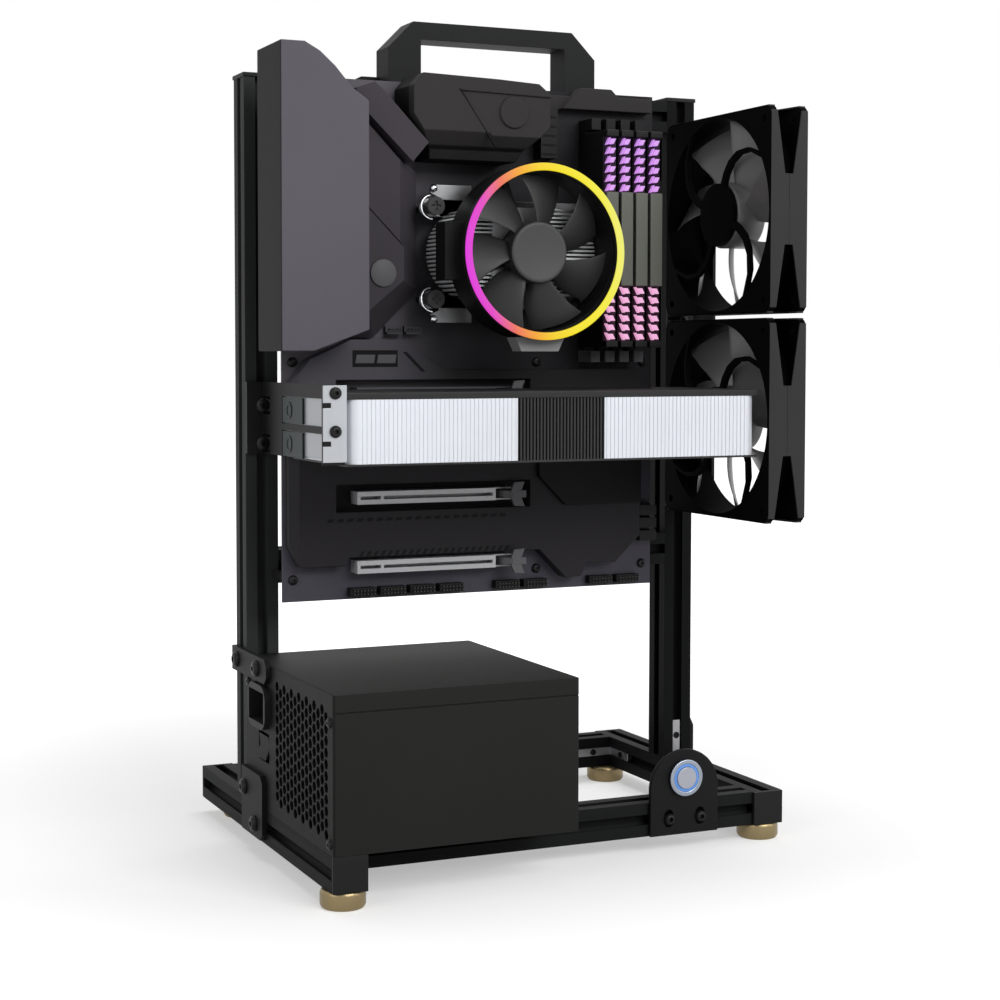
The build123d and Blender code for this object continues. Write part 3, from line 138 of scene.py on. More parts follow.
# Posts, base rails and cross rails are one 20 mm slotted aluminium section, sawn to length
# and anodised black. Faint drawing lines run along each bar.
def finish(name, colour, rough, metal=0.0, specular=0.2, drift=0.2, grain=900.0, depth=0.0,
           stretch=(1, 1, 1), spread=0.08, part=None, fades=()):
    """A finish read from Object coordinates in metres. A slow noise moves the colour by a part
    drift of itself; a fine noise of scale grain, stretched as given, moves the roughness by spread
    and lifts the surface by depth. Each fade (axis, low, high, colour) runs from that colour at
    low to the colour so far at high, and part=(axis, middle, half, colour) colours a band."""
    made = bpy.data.materials.new(name)
    made.use_nodes = True
    tree = made.node_tree
    shader = tree.nodes["Principled BSDF"]
    shader.inputs["Metallic"].default_value = metal
    shader.inputs["Specular IOR Level"].default_value = specular
    where = tree.nodes.new("ShaderNodeTexCoord")
    drawn = tree.nodes.new("ShaderNodeMapping")
    drawn.inputs["Scale"].default_value = stretch
    tree.links.new(where.outputs["Object"], drawn.inputs["Vector"])
    fine = tree.nodes.new("ShaderNodeTexNoise")
    fine.inputs["Scale"].default_value = grain
    fine.inputs["Detail"].default_value = 3.0
    tree.links.new(drawn.outputs["Vector"], fine.inputs["Vector"])
    slow = tree.nodes.new("ShaderNodeTexNoise")
    slow.inputs["Scale"].default_value = 14.0
    slow.inputs["Detail"].default_value = 4.0
    tree.links.new(where.outputs["Object"], slow.inputs["Vector"])

    def blend(share, first, second):
        """Mixes two colours, either given or linked, by a share from 0 to 1."""
        mix = tree.nodes.new("ShaderNodeMix")
        mix.data_type = "RGBA"
        tree.links.new(share, mix.inputs["Factor"])
        for socket, value in (("A", first), ("B", second)):
            if isinstance(value, tuple):
                mix.inputs[socket].default_value = (*value, 1.0)
            else:
                tree.links.new(value, mix.inputs[socket])
        return mix.outputs["Result"]

    def drifting(plain):
        """The colour, moved darker and lighter by the slow noise."""
        return blend(slow.outputs["Fac"], tuple(c * (1.0 - drift) for c in plain),
                     tuple(min(1.0, c * (1.0 + drift)) for c in plain))

    shown = drifting(colour)
    split = tree.nodes.new("ShaderNodeSeparateXYZ")
    tree.links.new(where.outputs["Object"], split.inputs[0])
    for axis, low, high, first in fades:
        run = tree.nodes.new("ShaderNodeMapRange")
        run.interpolation_type = "SMOOTHSTEP"
        run.inputs["From Min"].default_value = low
        run.inputs["From Max"].default_value = high
        tree.links.new(split.outputs[axis], run.inputs["Value"])
        shown = blend(run.outputs["Result"], drifting(first), shown)
    if part:
        axis, middle, half, inside = part
        band = tree.nodes.new("ShaderNodeMath")
        band.operation = "COMPARE"
        band.inputs[1].default_value = middle
        band.inputs[2].default_value = half
        tree.links.new(split.outputs[axis], band.inputs[0])
        shown = blend(band.outputs[0], shown, drifting(inside))
    tree.links.new(shown, shader.inputs["Base Color"])
    haze = tree.nodes.new("ShaderNodeMapRange")
    haze.inputs["To Min"].default_value = rough - spread
    haze.inputs["To Max"].default_value = rough + spread
    tree.links.new(fine.outputs["Fac"], haze.inputs["Value"])
    tree.links.new(haze.outputs["Result"], shader.inputs["Roughness"])
    if depth:
        bump = tree.nodes.new("ShaderNodeBump")
        bump.inputs["Strength"].default_value = 1.0
        bump.inputs["Distance"].default_value = depth
        tree.links.new(fine.outputs["Fac"], bump.inputs["Height"])
        tree.links.new(bump.outputs["Normal"], shader.inputs["Normal"])
    return made


def break_edges(piece, width):
    """Rounds each edge over 35 degrees to width metres and evens the shading of the flats."""
    edge = piece.modifiers.new("edge", "BEVEL")
    edge.width = width
    edge.segments = 2
    edge.limit_method = "ANGLE"
    edge.angle_limit = radians(35)
    edge.use_clamp_overlap = True
    even = piece.modifiers.new("even", "WEIGHTED_NORMAL")
    even.keep_sharp = False


def dress(names, made, edge=0.0004):
    """Gives CAD nodes their finish and a fine broken edge: corners are welded, level facets
    joined, and the edges then rounded to edge metres."""
    for name in names:
        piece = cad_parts[name]
        piece.material_slots[0].material = made
        if edge:
            weld = piece.modifiers.new("weld", "WELD")
            weld.merge_threshold = 2e-6
            level = piece.modifiers.new("level", "DECIMATE")
            level.decimate_type = "DISSOLVE"
            level.angle_limit = radians(0.5)
            break_edges(piece, edge)


# Each bar's black is painted lighter or darker for the light it gets: the left post much lighter, the right
# post and the rear rail darker.
for bars, drawing, painted_light_tone, lines in (
        (["left_post"], "anodised_left_painted_light", 0.033, (1, 1, 0.02)),
        (["right_post"], "anodised_right_painted_shade", 0.0065, (1, 1, 0.02)),
        (["left_base_rail", "right_base_rail"], "anodised_deep", 0.0105, (1, 0.02, 1)),
        (["front_base_rail", "upper_cross_rail", "lower_cross_rail"], "anodised_across", 0.012, (0.02, 1, 1)),
        (["rear_base_rail"], "anodised_rear_painted_shade", 0.006, (0.02, 1, 1))):
    dress(bars, finish(drawing, (0.96 * painted_light_tone, painted_light_tone, painted_light_tone), 0.5, metal=0.05, specular=0.03, drift=0.25,
                       grain=700.0, depth=0.00002, stretch=lines))

# Moulded caps close the open ends of the posts and rails, and the carrying handle is a bow
# of the same glass-filled plastic, with the fine texture of its mould.
moulded_black = finish("moulded_black", (0.009, 0.009, 0.0092), 0.5, specular=0.13, grain=1600.0,
                       depth=0.00003)
dress(["end_caps"], moulded_black)
handle_black = finish("handle_black", (0.0092, 0.0096, 0.0096), 0.55, specular=0.1, grain=1200.0,
                      depth=0.00004)
dress(["carry_handle"], handle_black, 0.001)

# Four levelling feet of turned aluminium, anodised pale gold, are screwed into the rails from
# below. Turning marks run round them.
turned_gold = finish("turned_gold", (0.26, 0.2, 0.105), 0.34, metal=0.85, specular=0.5, drift=0.15,
                     grain=1500.0, depth=0.00002, stretch=(0.03, 0.03, 1))
dress(["levelling_feet"], turned_gold, 0.0006)

# Laser-cut steel plates tie the posts, the rails and the power supply together. They are
# powder coated in black, with a slight orange peel.
coated_steel = finish("coated_steel", (0.0068, 0.0068, 0.007), 0.52, specular=0.09, grain=1300.0,
                      depth=0.00004)
dress(["joining_plates"], coated_steel, 0.0005)

# Zinc-plated connectors lie in the slots at the inner corners, each held by two dark grub
# screws with hexagon sockets that press on the slot's floor.
zinc_plated = finish("zinc_plated", (0.27, 0.27, 0.28), 0.38, metal=0.9, specular=0.5, drift=0.25,
                     grain=500.0, depth=0.00002)
dress(["slot_connectors"], zinc_plated, 0.0003)


def turned(profile, spots, axes, sides=24):
    """Turned pieces in millimetres: a profile of (radius, height, hexagon) rows goes once round the
    axis at each spot. Where hexagon is 1, the radius is drawn out to the six corners whose flats
    lie at that radius."""
    radius, height, hexed = np.asarray(profile, float).T[:, None, :, None]
    angle = np.arange(sides) * 2 * np.pi / sides
    reach = radius * (1 + hexed * (1 / np.cos(angle % (np.pi / 3) - np.pi / 6) - 1))
    spots = np.asarray(spots, float)[:, None, None, :]
    axis = np.asarray(axes, float)[:, None, None, :]
    first = np.where(np.abs(axis[..., 2:]) > 0.5, [1.0, 0.0, 0.0], [0.0, 0.0, 1.0])
    second = np.cross(axis, first)
    ring = np.cos(angle)[:, None] * first + np.sin(angle)[:, None] * second
    return spots + reach[..., None] * ring + height[..., None] * axis


def lay(name, shells, made, body, smooth=40.0, edge=0.0):
    """Makes one piece from shells in millimetres. A shell is an array (copies, rows, columns, 3):
    each row is a closed ring of points, joined to the next row, and a face closes each end."""
    millimetre = 0.001
    points, faces, count = [], [], 0
    for shell in shells:
        copies, rows, columns = shell.shape[:3]
        begin = count + np.arange(copies)[:, None, None] * rows * columns
        row = np.arange(rows - 1)[:, None] * columns
        here = np.arange(columns)
        there = (here + 1) % columns
        sides = [begin + row + here, begin + row + there, begin + row + columns + there,
                 begin + row + columns + here]
        faces += np.stack(sides, -1).reshape(-1, 4).tolist()
        faces += (begin[:, 0] + here[::-1]).tolist()
        faces += (begin[:, 0] + (rows - 1) * columns + here).tolist()
        points.append(shell.reshape(-1, 3) * millimetre)
        count += copies * rows * columns
    mesh = bpy.data.meshes.new(name)
    mesh.from_pydata(np.concatenate(points), [], faces)
    sides_out = bmesh.new()
    sides_out.from_mesh(mesh)
    bmesh.ops.recalc_face_normals(sides_out, faces=sides_out.faces)
    sides_out.to_mesh(mesh)
    sides_out.free()
    mesh.shade_smooth()
    mesh.set_sharp_from_angle(angle=radians(smooth))
    mesh.materials.append(made)
    piece = bpy.data.objects.new(name, mesh)
    bpy.context.scene.collection.objects.link(piece)
    if edge:
        break_edges(piece, edge)
    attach(piece, body)
    return piece


blackened = finish("blackened_steel", (0.0075, 0.0075, 0.008), 0.38, metal=0.2, specular=0.18, drift=0.25,
                   depth=0.00001)
grub = [(0.3, -2.6, 0), (2.1, -2.6, 0), (2.2, 0.0, 0), (2.0, 0.6, 0), (1.15, 0.6, 1), (1.15, 0.1, 1),
        (0.3, 0.1, 0)]
post_x, post_y, rail_top, rail_middle = 142.5, 27.3, 29.2, 20.0
grub_spots = [(side * post_x, post_y, 44.0) for side in (-1, 1)]
grub_spots += [(side * post_x, 14.0, rail_top) for side in (-1, 1)]
grub_axes = [(0, -1, 0)] * 2 + [(0, 0, 1)] * 2
for side in (-1, 1):
    for face, into in ((-61.0, 1), (101.0, -1)):
        grub_spots += [(side * 133.3, face + into * 14.0, rail_middle),
                       (side * 120.0, face - into * 0.8, rail_middle)]
        grub_axes += [(-side, 0, 0), (0, into, 0)]
grub_black = finish("grub_black", (0.003, 0.003, 0.0032), 0.45, specular=0.15, drift=0.3)
lay("grub_screws", [turned(grub, grub_spots, grub_axes)], grub_black, "bench")


# Button-head bolts of blackened steel hold the plates, the handle, the card's holder and the
# fans' angle to the frame. Each head is a low dome with a hexagon socket.
def domed_bolt(radius, height, socket, shank, length):
    """Rows of a bolt: the shank's end, the flat seat, a short rim, a dome that follows a quarter
    of an ellipse up to the socket's mouth, and the socket's walls and floor."""
    steps, centre = 6, 0.3
    mouth, rim, sunk_to = 1.25 * socket, 0.22, 0.25 * height
    rise = np.linspace(0.0, np.pi / 2, steps)
    dome_r = mouth + (radius - mouth) * np.cos(rise)
    dome_h = height * (rim + (1.0 - rim) * np.sin(rise))
    rows = [(centre, -length, 0), (shank, -length, 0), (shank, 0.0, 0), (radius, 0.0, 0)]
    rows += list(zip(dome_r, dome_h, np.zeros(steps)))
    return rows + [(socket, height, 1), (socket, sunk_to, 1), (centre, sunk_to, 0)]


left, right, front = (-1, 0, 0), (1, 0, 0), (0, -1, 0)
plate_x, frame_bolt = 155.5, (4.75, 2.8, 1.6, 2.5)
side_spots = [(-plate_x, 36.5, 112.2), (-plate_x, 3.0, rail_middle), (plate_x, 36.5, rail_middle),
              (plate_x, 36.5, 40.5)]
side_axes = [left, left, right, right]
short_spots = [(-plate_x, -1.9, 112.2), (-plate_x, 22.5, 38.0)]
holder_spots = [(-post_x, 23.5, z) for z in (264.7, 242.2)]
angle_spots = [(post_x, 24.5, z) for z in (423.0, 317.0, 211.0)]
handle_spots = [(x, 22.5, 448.0) for x in (-78.0, 78.0)]
button_spots = [(x, -84.0, rail_middle) for x in (73.0, 94.2)]
tab_spots = [(-146.4, -112.4, z) for z in (274.4, 254.08)]
bolts = lay("socket_bolts", [
    turned(domed_bolt(*frame_bolt, 7.5), side_spots, side_axes),
    turned(domed_bolt(*frame_bolt, 3.0), short_spots, [left, left]),
    turned(domed_bolt(*frame_bolt, 7.0), holder_spots + angle_spots + handle_spots, [front] * 7),
    turned(domed_bolt(3.3, 2.8, 1.25, 2.5, 7.5), button_spots, [front] * 2),
    turned(domed_bolt(3.3, 2.2, 1.1, 1.6, 2.4), tab_spots, [front] * 2)],
    blackened, "bench", smooth=35.0)
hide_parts("frame_bolts")

# The main board is a laminate with a dark violet mask, standing on plated hexagon pillars
# and held by small blackened pan-head screws.
pillar_plated = finish("pillar_plated", (0.03, 0.03, 0.031), 0.35, metal=0.6, specular=0.3, grain=800.0)
dress(["board_standoffs"], pillar_plated, 0.0003)
# Painted light: the mask's front is painted lighter towards the left and towards the bottom, for the light
# that falls there; its back keeps the plain dark mask.
mask_dark = (0.0105, 0.01, 0.012)
board_mask_painted_light = finish("board_mask_painted_light", mask_dark, 0.5, specular=0.1, drift=0.3, grain=260.0, depth=0.00003,
                    spread=0.1,
                    fades=[(0, -0.085, -0.012, (0.1, 0.093, 0.105)),
                           (2, 0.17, 0.29, (0.058, 0.055, 0.069)), (1, -0.0036, -0.0044, mask_dark)])
dress(["motherboard"], board_mask_painted_light, 0.0002)
pan_head = [(0.3, -1.0, 0), (1.5, -1.0, 0), (1.5, 0.0, 0), (2.9, 0.0, 0), (2.8, 1.0, 0), (2.2, 1.7, 0),
            (1.3, 1.9, 0), (1.0, 1.9, 1), (1.0, 0.9, 1), (0.3, 0.9, 0)]
pan_spots = [(x, -5.1, z) for x in (-134.05, 23.43, 97.09) for z in (163.2, 290.2)]
lay("board_screws", [turned(pan_head, pan_spots, [front] * 6)], blackened, "bench")

# The port cover and the two heatsinks beside it are die-cast and spray painted in a violet
# grey, dry and very finely textured. The sinks are a shade darker than the cover.
# The cover's left face is painted much darker, as shade on the side turned from the light.
cover_paint_and_shade = finish("cover_paint_and_shade", (0.1, 0.092, 0.11), 0.65, specular=0.06, drift=0.08, grain=2200.0,
                     depth=0.00002, part=(0, -0.1545, 0.0006, (0.03, 0.029, 0.031)))
dress(["io_cover"], cover_paint_and_shade, 0.0008)
sink_paint = finish("sink_paint", (0.045, 0.04, 0.047), 0.6, specular=0.08, drift=0.12, grain=2200.0,
                    depth=0.00002)
dress(["vrm_heatsink_left"], sink_paint, 0.0006)
# Painted shade: the top sink is near-black behind its front face and grey only on that face and on its shelf
# to the right.
sink_grey = (0.031, 0.029, 0.03)
top_sink_paint_and_shade = finish("top_sink_paint_and_shade", (0.006, 0.006, 0.0065), 0.6, specular=0.06, drift=0.12,
                        grain=2200.0, depth=0.00002,
                        fades=[(1, -0.0285, -0.0272, sink_grey), (0, 0.02, 0.0188, sink_grey)])
dress(["vrm_heatsink_top"], top_sink_paint_and_shade, 0.0006)
badge_paint = finish("badge_paint", (0.1, 0.098, 0.102), 0.5, specular=0.12, drift=0.08, grain=2200.0,
                     depth=0.00001)
badge = [(0.4, -0.4, 0), (7.9, -0.4, 0), (7.9, 0.0, 0), (7.6, 0.25, 0), (0.4, 0.25, 0)]
lay("sink_disc", [turned(badge, [(-86.7, -30.1, 341.7)], [front], sides=64)], badge_paint, "bench")


def upright_plates(corners, near, far):
    """Flat prisms in millimetres with (x, z) corners, between two depths."""
    corners = np.asarray(corners, float)
    near = np.broadcast_to(np.asarray(near, float).reshape(-1, 1), corners.shape[:2])
    far = np.broadcast_to(np.asarray(far, float).reshape(-1, 1), corners.shape[:2])
    rows = [np.stack([corners[..., 0], depth, corners[..., 1]], -1) for depth in (near, far)]
    return np.stack(rows, 1)


# A thin near-black strip along the top sink's crease is painted shade in the fold.
crease_painted_shade = finish("crease_painted_shade", (0.008, 0.0076, 0.008), 0.6, specular=0.05, grain=2000.0)
crease = [[(-41.6, 449.2), (-40.6, 449.2), (-17.6, 416.6), (-18.6, 416.6)]]
lay("sink_crease", [upright_plates(crease, -35.58, -34.0)], crease_painted_shade, "bench")

# A painted armour plate covers the drive slots, and the darker chipset cover lies on it.
# Rows of slanted nicks, a small window and a parting line are sunk in the plate; they are
# drawn as thin near-black plates on its face, painted shade of the hollows.
# Painted light and shade: above about 270 mm the armour is painted lighter towards the left and darker to the
# right; below, it is a flat lighter grey.
armour_lower_painted_light = (0.0168, 0.0152, 0.0172)
armour_paint_and_light = finish("armour_paint_and_light", (0.0095, 0.009, 0.0095), 0.55, specular=0.1, drift=0.15,
                      grain=1800.0, depth=0.00003,
                      fades=[(0, -0.085, -0.03, (0.065, 0.061, 0.072)), (2, 0.262, 0.28, armour_lower_painted_light)])
dress(["expansion_armour"], armour_paint_and_light, 0.0006)
chipset_paint = finish("chipset_paint", (0.0048, 0.0047, 0.0045), 0.5, specular=0.08, grain=1800.0,
                       depth=0.00002)
dress(["chipset_cover"], chipset_paint, 0.0006)


def slanted(starts, level, wide, tall, lean):
    """Corners of a row of parallelograms: each begins at a start, its top moved sideways by lean."""
    starts = np.asarray(starts, float)
    x = np.stack([starts, starts + wide, starts + wide + lean, starts + lean], -1)
    z = np.broadcast_to(np.array([0.0, 0.0, tall, tall]) + np.asarray(level, float)[..., None], x.shape)
    return np.stack([x, z], -1)


def boxes(lows, highs):
    """Boxes in millimetres from arrays of low and high corners."""
    low, high = np.asarray(lows, float), np.asarray(highs, float)
    corners = np.stack([low[:, [0, 2]], np.stack([high[:, 0], low[:, 2]], -1), high[:, [0, 2]],
                        np.stack([low[:, 0], high[:, 2]], -1)], 1)
    return upright_plates(corners, low[:, 1], high[:, 1])


armour_face = -15.5
recess_painted_shade = finish("recess_painted_shade", (0.002, 0.002, 0.0024), 0.6, specular=0.1, drift=0.3, grain=1500.0)
nicks = slanted(np.linspace(-116.6, -6.3, 19), np.full(19, 197.0), 3.7, 1.9, 1.0)
hatch = slanted(np.linspace(-96.8, -3.0, 22), np.full(22, 176.4), 1.9, 3.0, 1.8)
parting = [[(-69.0, 296.2), (-66.4, 296.2), (-54.4, 284.6), (-57.0, 284.6)]]
window_frame = slanted([-100.6], [287.4], 28.4, 9.8, 0.0)
sunk = np.concatenate([nicks, hatch, parting, window_frame])
lay("armour_nicks", [upright_plates(sunk, armour_face - 0.12, armour_face + 0.3)], recess_painted_shade, "bench")
# A near-black sheet on the board by the middle slot is painted shade in the slot's well.
well = boxes([(-110.4, -5.3, 202.9)], [(14.2, -5.0, 218.6)])
lay("slot_well_shade", [well], recess_painted_shade, "bench")
lens_grey = finish("lens_grey", (0.05, 0.05, 0.056), 0.35, specular=0.3, grain=1200.0)
lenses = slanted([-98.8, -85.4], [289.6, 289.6], 11.6, 5.0, 0.8)
lay("window_lenses", [upright_plates(lenses, armour_face - 0.35, armour_face - 0.05)], lens_grey, "bench",
    edge=0.0001)

# Sockets and headers on the board are moulded in black nylon; the memory sockets' lower
# latches are grey. The headers carry rows of thin plated pins.
socket_nylon = finish("socket_nylon", (0.006, 0.006, 0.0065), 0.5, specular=0.13, grain=1500.0,
                      depth=0.00002, part=(2, 0.2935, 0.0037, (0.1, 0.1, 0.105)))
dress(["board_sockets"], socket_nylon, 0.0003)
pin_plated = finish("pin_plated", (0.06, 0.055, 0.05), 0.35, metal=0.8, specular=0.4)
pin_side, first_pin, header_pitch, pin_pitch, small_pitch = 0.64, 1.6, 19.0, 2.1, 2.2
header_x = np.concatenate([start + header_pitch * np.arange(count)
                           for start, count in ((-100.4, 4), (-6.4, 2), (57.6, 2))])
pin_x = (header_x[:, None] + first_pin + pin_pitch * np.arange(7)).ravel()
pin_x, pin_z = [axis.ravel() for axis in np.meshgrid(pin_x, [153.4, 155.6])]
pin_low = np.stack([pin_x, np.full_like(pin_x, -13.4), pin_z], -1)
lay("header_pins", [boxes(pin_low, pin_low + (pin_side, 2.5, pin_side))], pin_plated, "bench")
small_x = np.array([-77.0, -65.0])
small_low = np.stack([small_x, np.full(2, -11.1), np.full(2, 306.6)], -1)
header_nylon = finish("header_nylon", (0.05, 0.05, 0.056), 0.5, grain=1500.0, depth=0.00002)
lay("small_headers", [boxes(small_low, small_low + (10.0, 6.0, 1.2)),
                      boxes(small_low + (0, 3.0, 1.2), small_low + (10.0, 6.0, 4.8))],
    header_nylon, "bench", edge=0.0002)
small_pin_x = (small_x[:, None] + first_pin + small_pitch * np.arange(4)).ravel()
small_pin = np.stack([small_pin_x, np.full(8, -13.1), np.full(8, 309.2)], -1)
lay("small_pins", [boxes(small_pin, small_pin + (pin_side, 5.3, pin_side))], pin_plated, "bench")
# Near-black cells on the two power connectors are painted shade in their pin holes.
cell_z = 415.0 + 5.6 * np.arange(5)
cell_low = np.stack([np.full(5, 22.4), np.full(5, -15.22), cell_z], -1)
power_x, power_z = [axis.ravel() for axis in np.meshgrid([93.9, 98.6], 351.6 + 4.2 * np.arange(12))]
power_low = np.stack([power_x, np.full(24, -18.22), power_z], -1)
lay("connector_cells", [boxes(cell_low, cell_low + (9.2, 0.3, 1.3)),
                        boxes(power_low, power_low + (3.7, 0.3, 3.2))], recess_painted_shade, "bench")

# Three long expansion slots in pale steel sleeves are soldered to the board, the upper one
# painted dark as the shade it lies in. At the end of each a grey lever hooks over the card's tail.
slot_sleeve = finish("slot_sleeve", (0.36, 0.36, 0.37), 0.42, metal=0.25, specular=0.3, drift=0.12,
                     grain=700.0, depth=0.00002, stretch=(0.05, 1, 1))
dress(["expansion_slot_middle", "expansion_slot_lower"], slot_sleeve, 0.0)
sleeve_painted_shade = finish("sleeve_painted_shade", (0.06, 0.058, 0.068), 0.45, metal=0.2, drift=0.12, grain=700.0,
                     depth=0.00002, stretch=(0.05, 1, 1))
dress(["expansion_slot_upper"], sleeve_painted_shade, 0.0)
lever_grey = finish("lever_grey", (0.09, 0.09, 0.095), 0.5, drift=0.15, grain=1500.0, depth=0.00003)
wing = np.array([(-1.5, 1.2), (5.5, 1.8), (8.0, 7.6), (1.0, 7.2)])
wings = np.stack([wing, wing * (1, -1)])
for name, level in (("upper", 271.72), ("middle", 210.76), ("lower", 170.12)):
    dress(["slot_latch_" + name], lever_grey, 0.0005)
    lay("latch_wings_" + name, [upright_plates(wings + (0.0, level), -22.0, -19.8)], lever_grey,
        name + "_latch", edge=0.0004)

# Four memory modules in brushed aluminium spreaders, grey along the middle and black at both
# ends. Two groups of slanted teeth on each are a milky light guide, lit in violet and pink.
spreader = finish("spreader", (0.006, 0.006, 0.0064), 0.42, metal=0.2, specular=0.16, drift=0.15,
                  depth=0.00002, stretch=(1, 1, 0.03), spread=0.1,
                  part=(2, 0.364, 0.0283, (0.11, 0.113, 0.098)))
dress(["memory_modules"], spreader, 0.0005)
module_x = 51.3 + 10.0 * np.arange(4)
lower_light, upper_light = 303.0, 392.0
tooth_pitch, tooth_wide, tooth_tall, tooth_lean = 5.5, 3.1, 3.2, 1.6
stroke_wide, stroke_tall, stroke_lean, stroke_drop = 0.7, tooth_tall + 1.2, 2.2, 0.5
tooth_rows = tooth_pitch * np.arange(6) + 0.9
guide_x, guide_rows = [axis.ravel() for axis in np.meshgrid(module_x, tooth_rows)]
lower_rows, upper_rows = lower_light + guide_rows, upper_light + guide_rows
lower_teeth = slanted(guide_x + 3.1, lower_rows, tooth_wide, tooth_tall, -tooth_lean)
upper_teeth = slanted(guide_x + 1.5, upper_rows, tooth_wide, tooth_tall, tooth_lean)
lower_strokes = slanted(guide_x + 2.4, lower_rows - stroke_drop, stroke_wide, stroke_tall, -stroke_lean)
upper_strokes = slanted(guide_x + 0.1, upper_rows - stroke_drop, stroke_wide, stroke_tall, stroke_lean)
back_low = np.array([(x + 0.4, -40.2, z) for x in module_x for z in (lower_light, upper_light)])


def lit(made, low, high, colours, direction, strength, depth=None):
    """Lights a finish: its place along a direction, from low to high in metres, picks the colour
    from an even run of colours, which glows at the given strength. depth=(middle, half) keeps the
    glow to a band of depths, and the rest stays dark."""
    tree = made.node_tree
    shader = tree.nodes["Principled BSDF"]
    where = tree.nodes.new("ShaderNodeTexCoord")
    along = tree.nodes.new("ShaderNodeVectorMath")
    along.operation = "DOT_PRODUCT"
    along.inputs[1].default_value = direction
    tree.links.new(where.outputs["Object"], along.inputs[0])
    share = tree.nodes.new("ShaderNodeMapRange")
    share.inputs["From Min"].default_value = low
    share.inputs["From Max"].default_value = high
    tree.links.new(along.outputs["Value"], share.inputs["Value"])
    run = tree.nodes.new("ShaderNodeValToRGB")
    stops = run.color_ramp.elements
    for index, colour in enumerate(colours):
        place = index / (len(colours) - 1)
        stop = stops[index] if index < 1 else stops.new(place) if index < len(colours) - 1 else stops[-1]
        stop.position = place
        stop.color = (*colour, 1.0)
    tree.links.new(share.outputs["Result"], run.inputs["Fac"])
    glow = run.outputs["Color"]
    if depth:
        split = tree.nodes.new("ShaderNodeSeparateXYZ")
        tree.links.new(where.outputs["Object"], split.inputs[0])
        band = tree.nodes.new("ShaderNodeMath")
        band.operation = "COMPARE"
        band.inputs[1].default_value, band.inputs[2].default_value = depth
        tree.links.new(split.outputs[1], band.inputs[0])
        kept = tree.nodes.new("ShaderNodeMix")
        kept.data_type = "RGBA"
        kept.inputs["A"].default_value = (0.0, 0.0, 0.0, 1.0)
        tree.links.new(band.outputs[0], kept.inputs["Factor"])
        tree.links.new(glow, kept.inputs["B"])
        glow = kept.outputs["Result"]
    tree.links.new(glow, shader.inputs["Emission Color"])
    shader.inputs["Emission Strength"].default_value = strength
    return made


glow_low, glow_high, upward = 0.300, 0.428, (0, 0, 1)
guide_run = [(0.9, 0.42, 0.66), (0.9, 0.42, 0.68), (0.62, 0.24, 0.78), (0.5, 0.2, 0.76)]
guide_lit = lit(finish("guide_lit", (0.3, 0.2, 0.3), 0.4, drift=0.1, grain=600.0), glow_low, glow_high,
                guide_run, upward, strength=0.75)
teeth = lay("memory_teeth", [
    upright_plates(np.concatenate([lower_teeth, upper_teeth]), -43.55, -40.0),
    upright_plates(np.concatenate([lower_strokes, upper_strokes]), -43.1, -40.0)],
    guide_lit, "bench", edge=0.0002)
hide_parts("memory_light_bars")
guide_dark = lit(finish("guide_dark", (0.008, 0.005, 0.009), 0.45, specular=0.1), glow_low, glow_high,
                 [(0.03, 0.006, 0.016), (0.014, 0.003, 0.022)], upward, strength=0.5)
lay("memory_guides", [boxes(back_low, back_low + (7.4, 1.55, 33.0))], guide_dark, "bench")

# The processor's nickel lid carries an extruded aluminium heatsink. A stamped steel cross
# with four sprung screws holds it down, with a chrome wire hook beside each left screw.
nickel = finish("nickel", (0.55, 0.54, 0.52), 0.3, metal=1.0, specular=0.5, drift=0.1, grain=600.0,
                depth=0.00001, stretch=(1, 1, 0.1))
dress(["processor"], nickel, 0.0004)
extruded_fins = finish("extruded_fins", (0.6, 0.61, 0.62), 0.36, metal=0.3, specular=0.5, drift=0.15,
                       grain=500.0, depth=0.00002, stretch=(0.05, 0.05, 1))
dress(["cooler_heatsink"], extruded_fins, 0.0002)
# The cross is painted much lighter towards its left end, as light on the ears; the rest stays darker, as the
# duct's shade.
stamped_steel_and_light = finish("stamped_steel_and_light", (0.07, 0.07, 0.072), 0.32, metal=0.9, specular=0.5, drift=0.15,
                       grain=300.0, depth=0.00001, fades=[(0, -0.045, -0.03, (0.24, 0.245, 0.25))])


def rounded_bar(starts, ends, radius, near, far):
    """Flat bars in millimetres from start to end points (x, z), with half-round ends."""
    starts, ends = np.asarray(starts, float), np.asarray(ends, float)
    run = (ends - starts) / np.linalg.norm(ends - starts, axis=-1, keepdims=True)
    side = np.stack([-run[:, 1], run[:, 0]], -1)
    turn = np.linspace(-np.pi / 2, np.pi / 2, 13)[:, None]
    out = np.cos(turn) * run[:, None] + np.sin(turn) * side[:, None]
    outline = np.concatenate([ends[:, None] + radius * out, starts[:, None] - radius * out], 1)
    return upright_plates(outline, near, far)


screw_left, screw_right, arm_low, arm_high, cooler_z = -54.5, 44.5, 327.0, 381.0, 354.0
arm_front, arm_back = -18.6, -16.6
bars = rounded_bar([(screw_left, arm_low), (screw_left, arm_high)],
                   [(screw_right, arm_low), (screw_right, arm_high)], 5.2, arm_front, arm_back)
ear = np.array([(-52.6, 35.6), (-47.0, 33.0), (-47.0, 21.8), (-26.0, 21.8), (-26.0, 40.6), (-50.0, 40.6)])
ears = upright_plates(np.stack([ear, ear * (1, -1)]) + (0.0, cooler_z), arm_front, arm_back)
links = boxes([(-29.2, arm_front, arm_low), (22.4, arm_front, arm_low)],
              [(-22.8, arm_back, arm_high), (28.8, arm_back, arm_high)])
cross = lay("cooler_cross", [bars, ears, links], stamped_steel_and_light, "bench", edge=0.0003)
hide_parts("cooler_arms")
screw_grey = finish("screw_grey", (0.032, 0.032, 0.033), 0.45, metal=0.2, depth=0.00001)
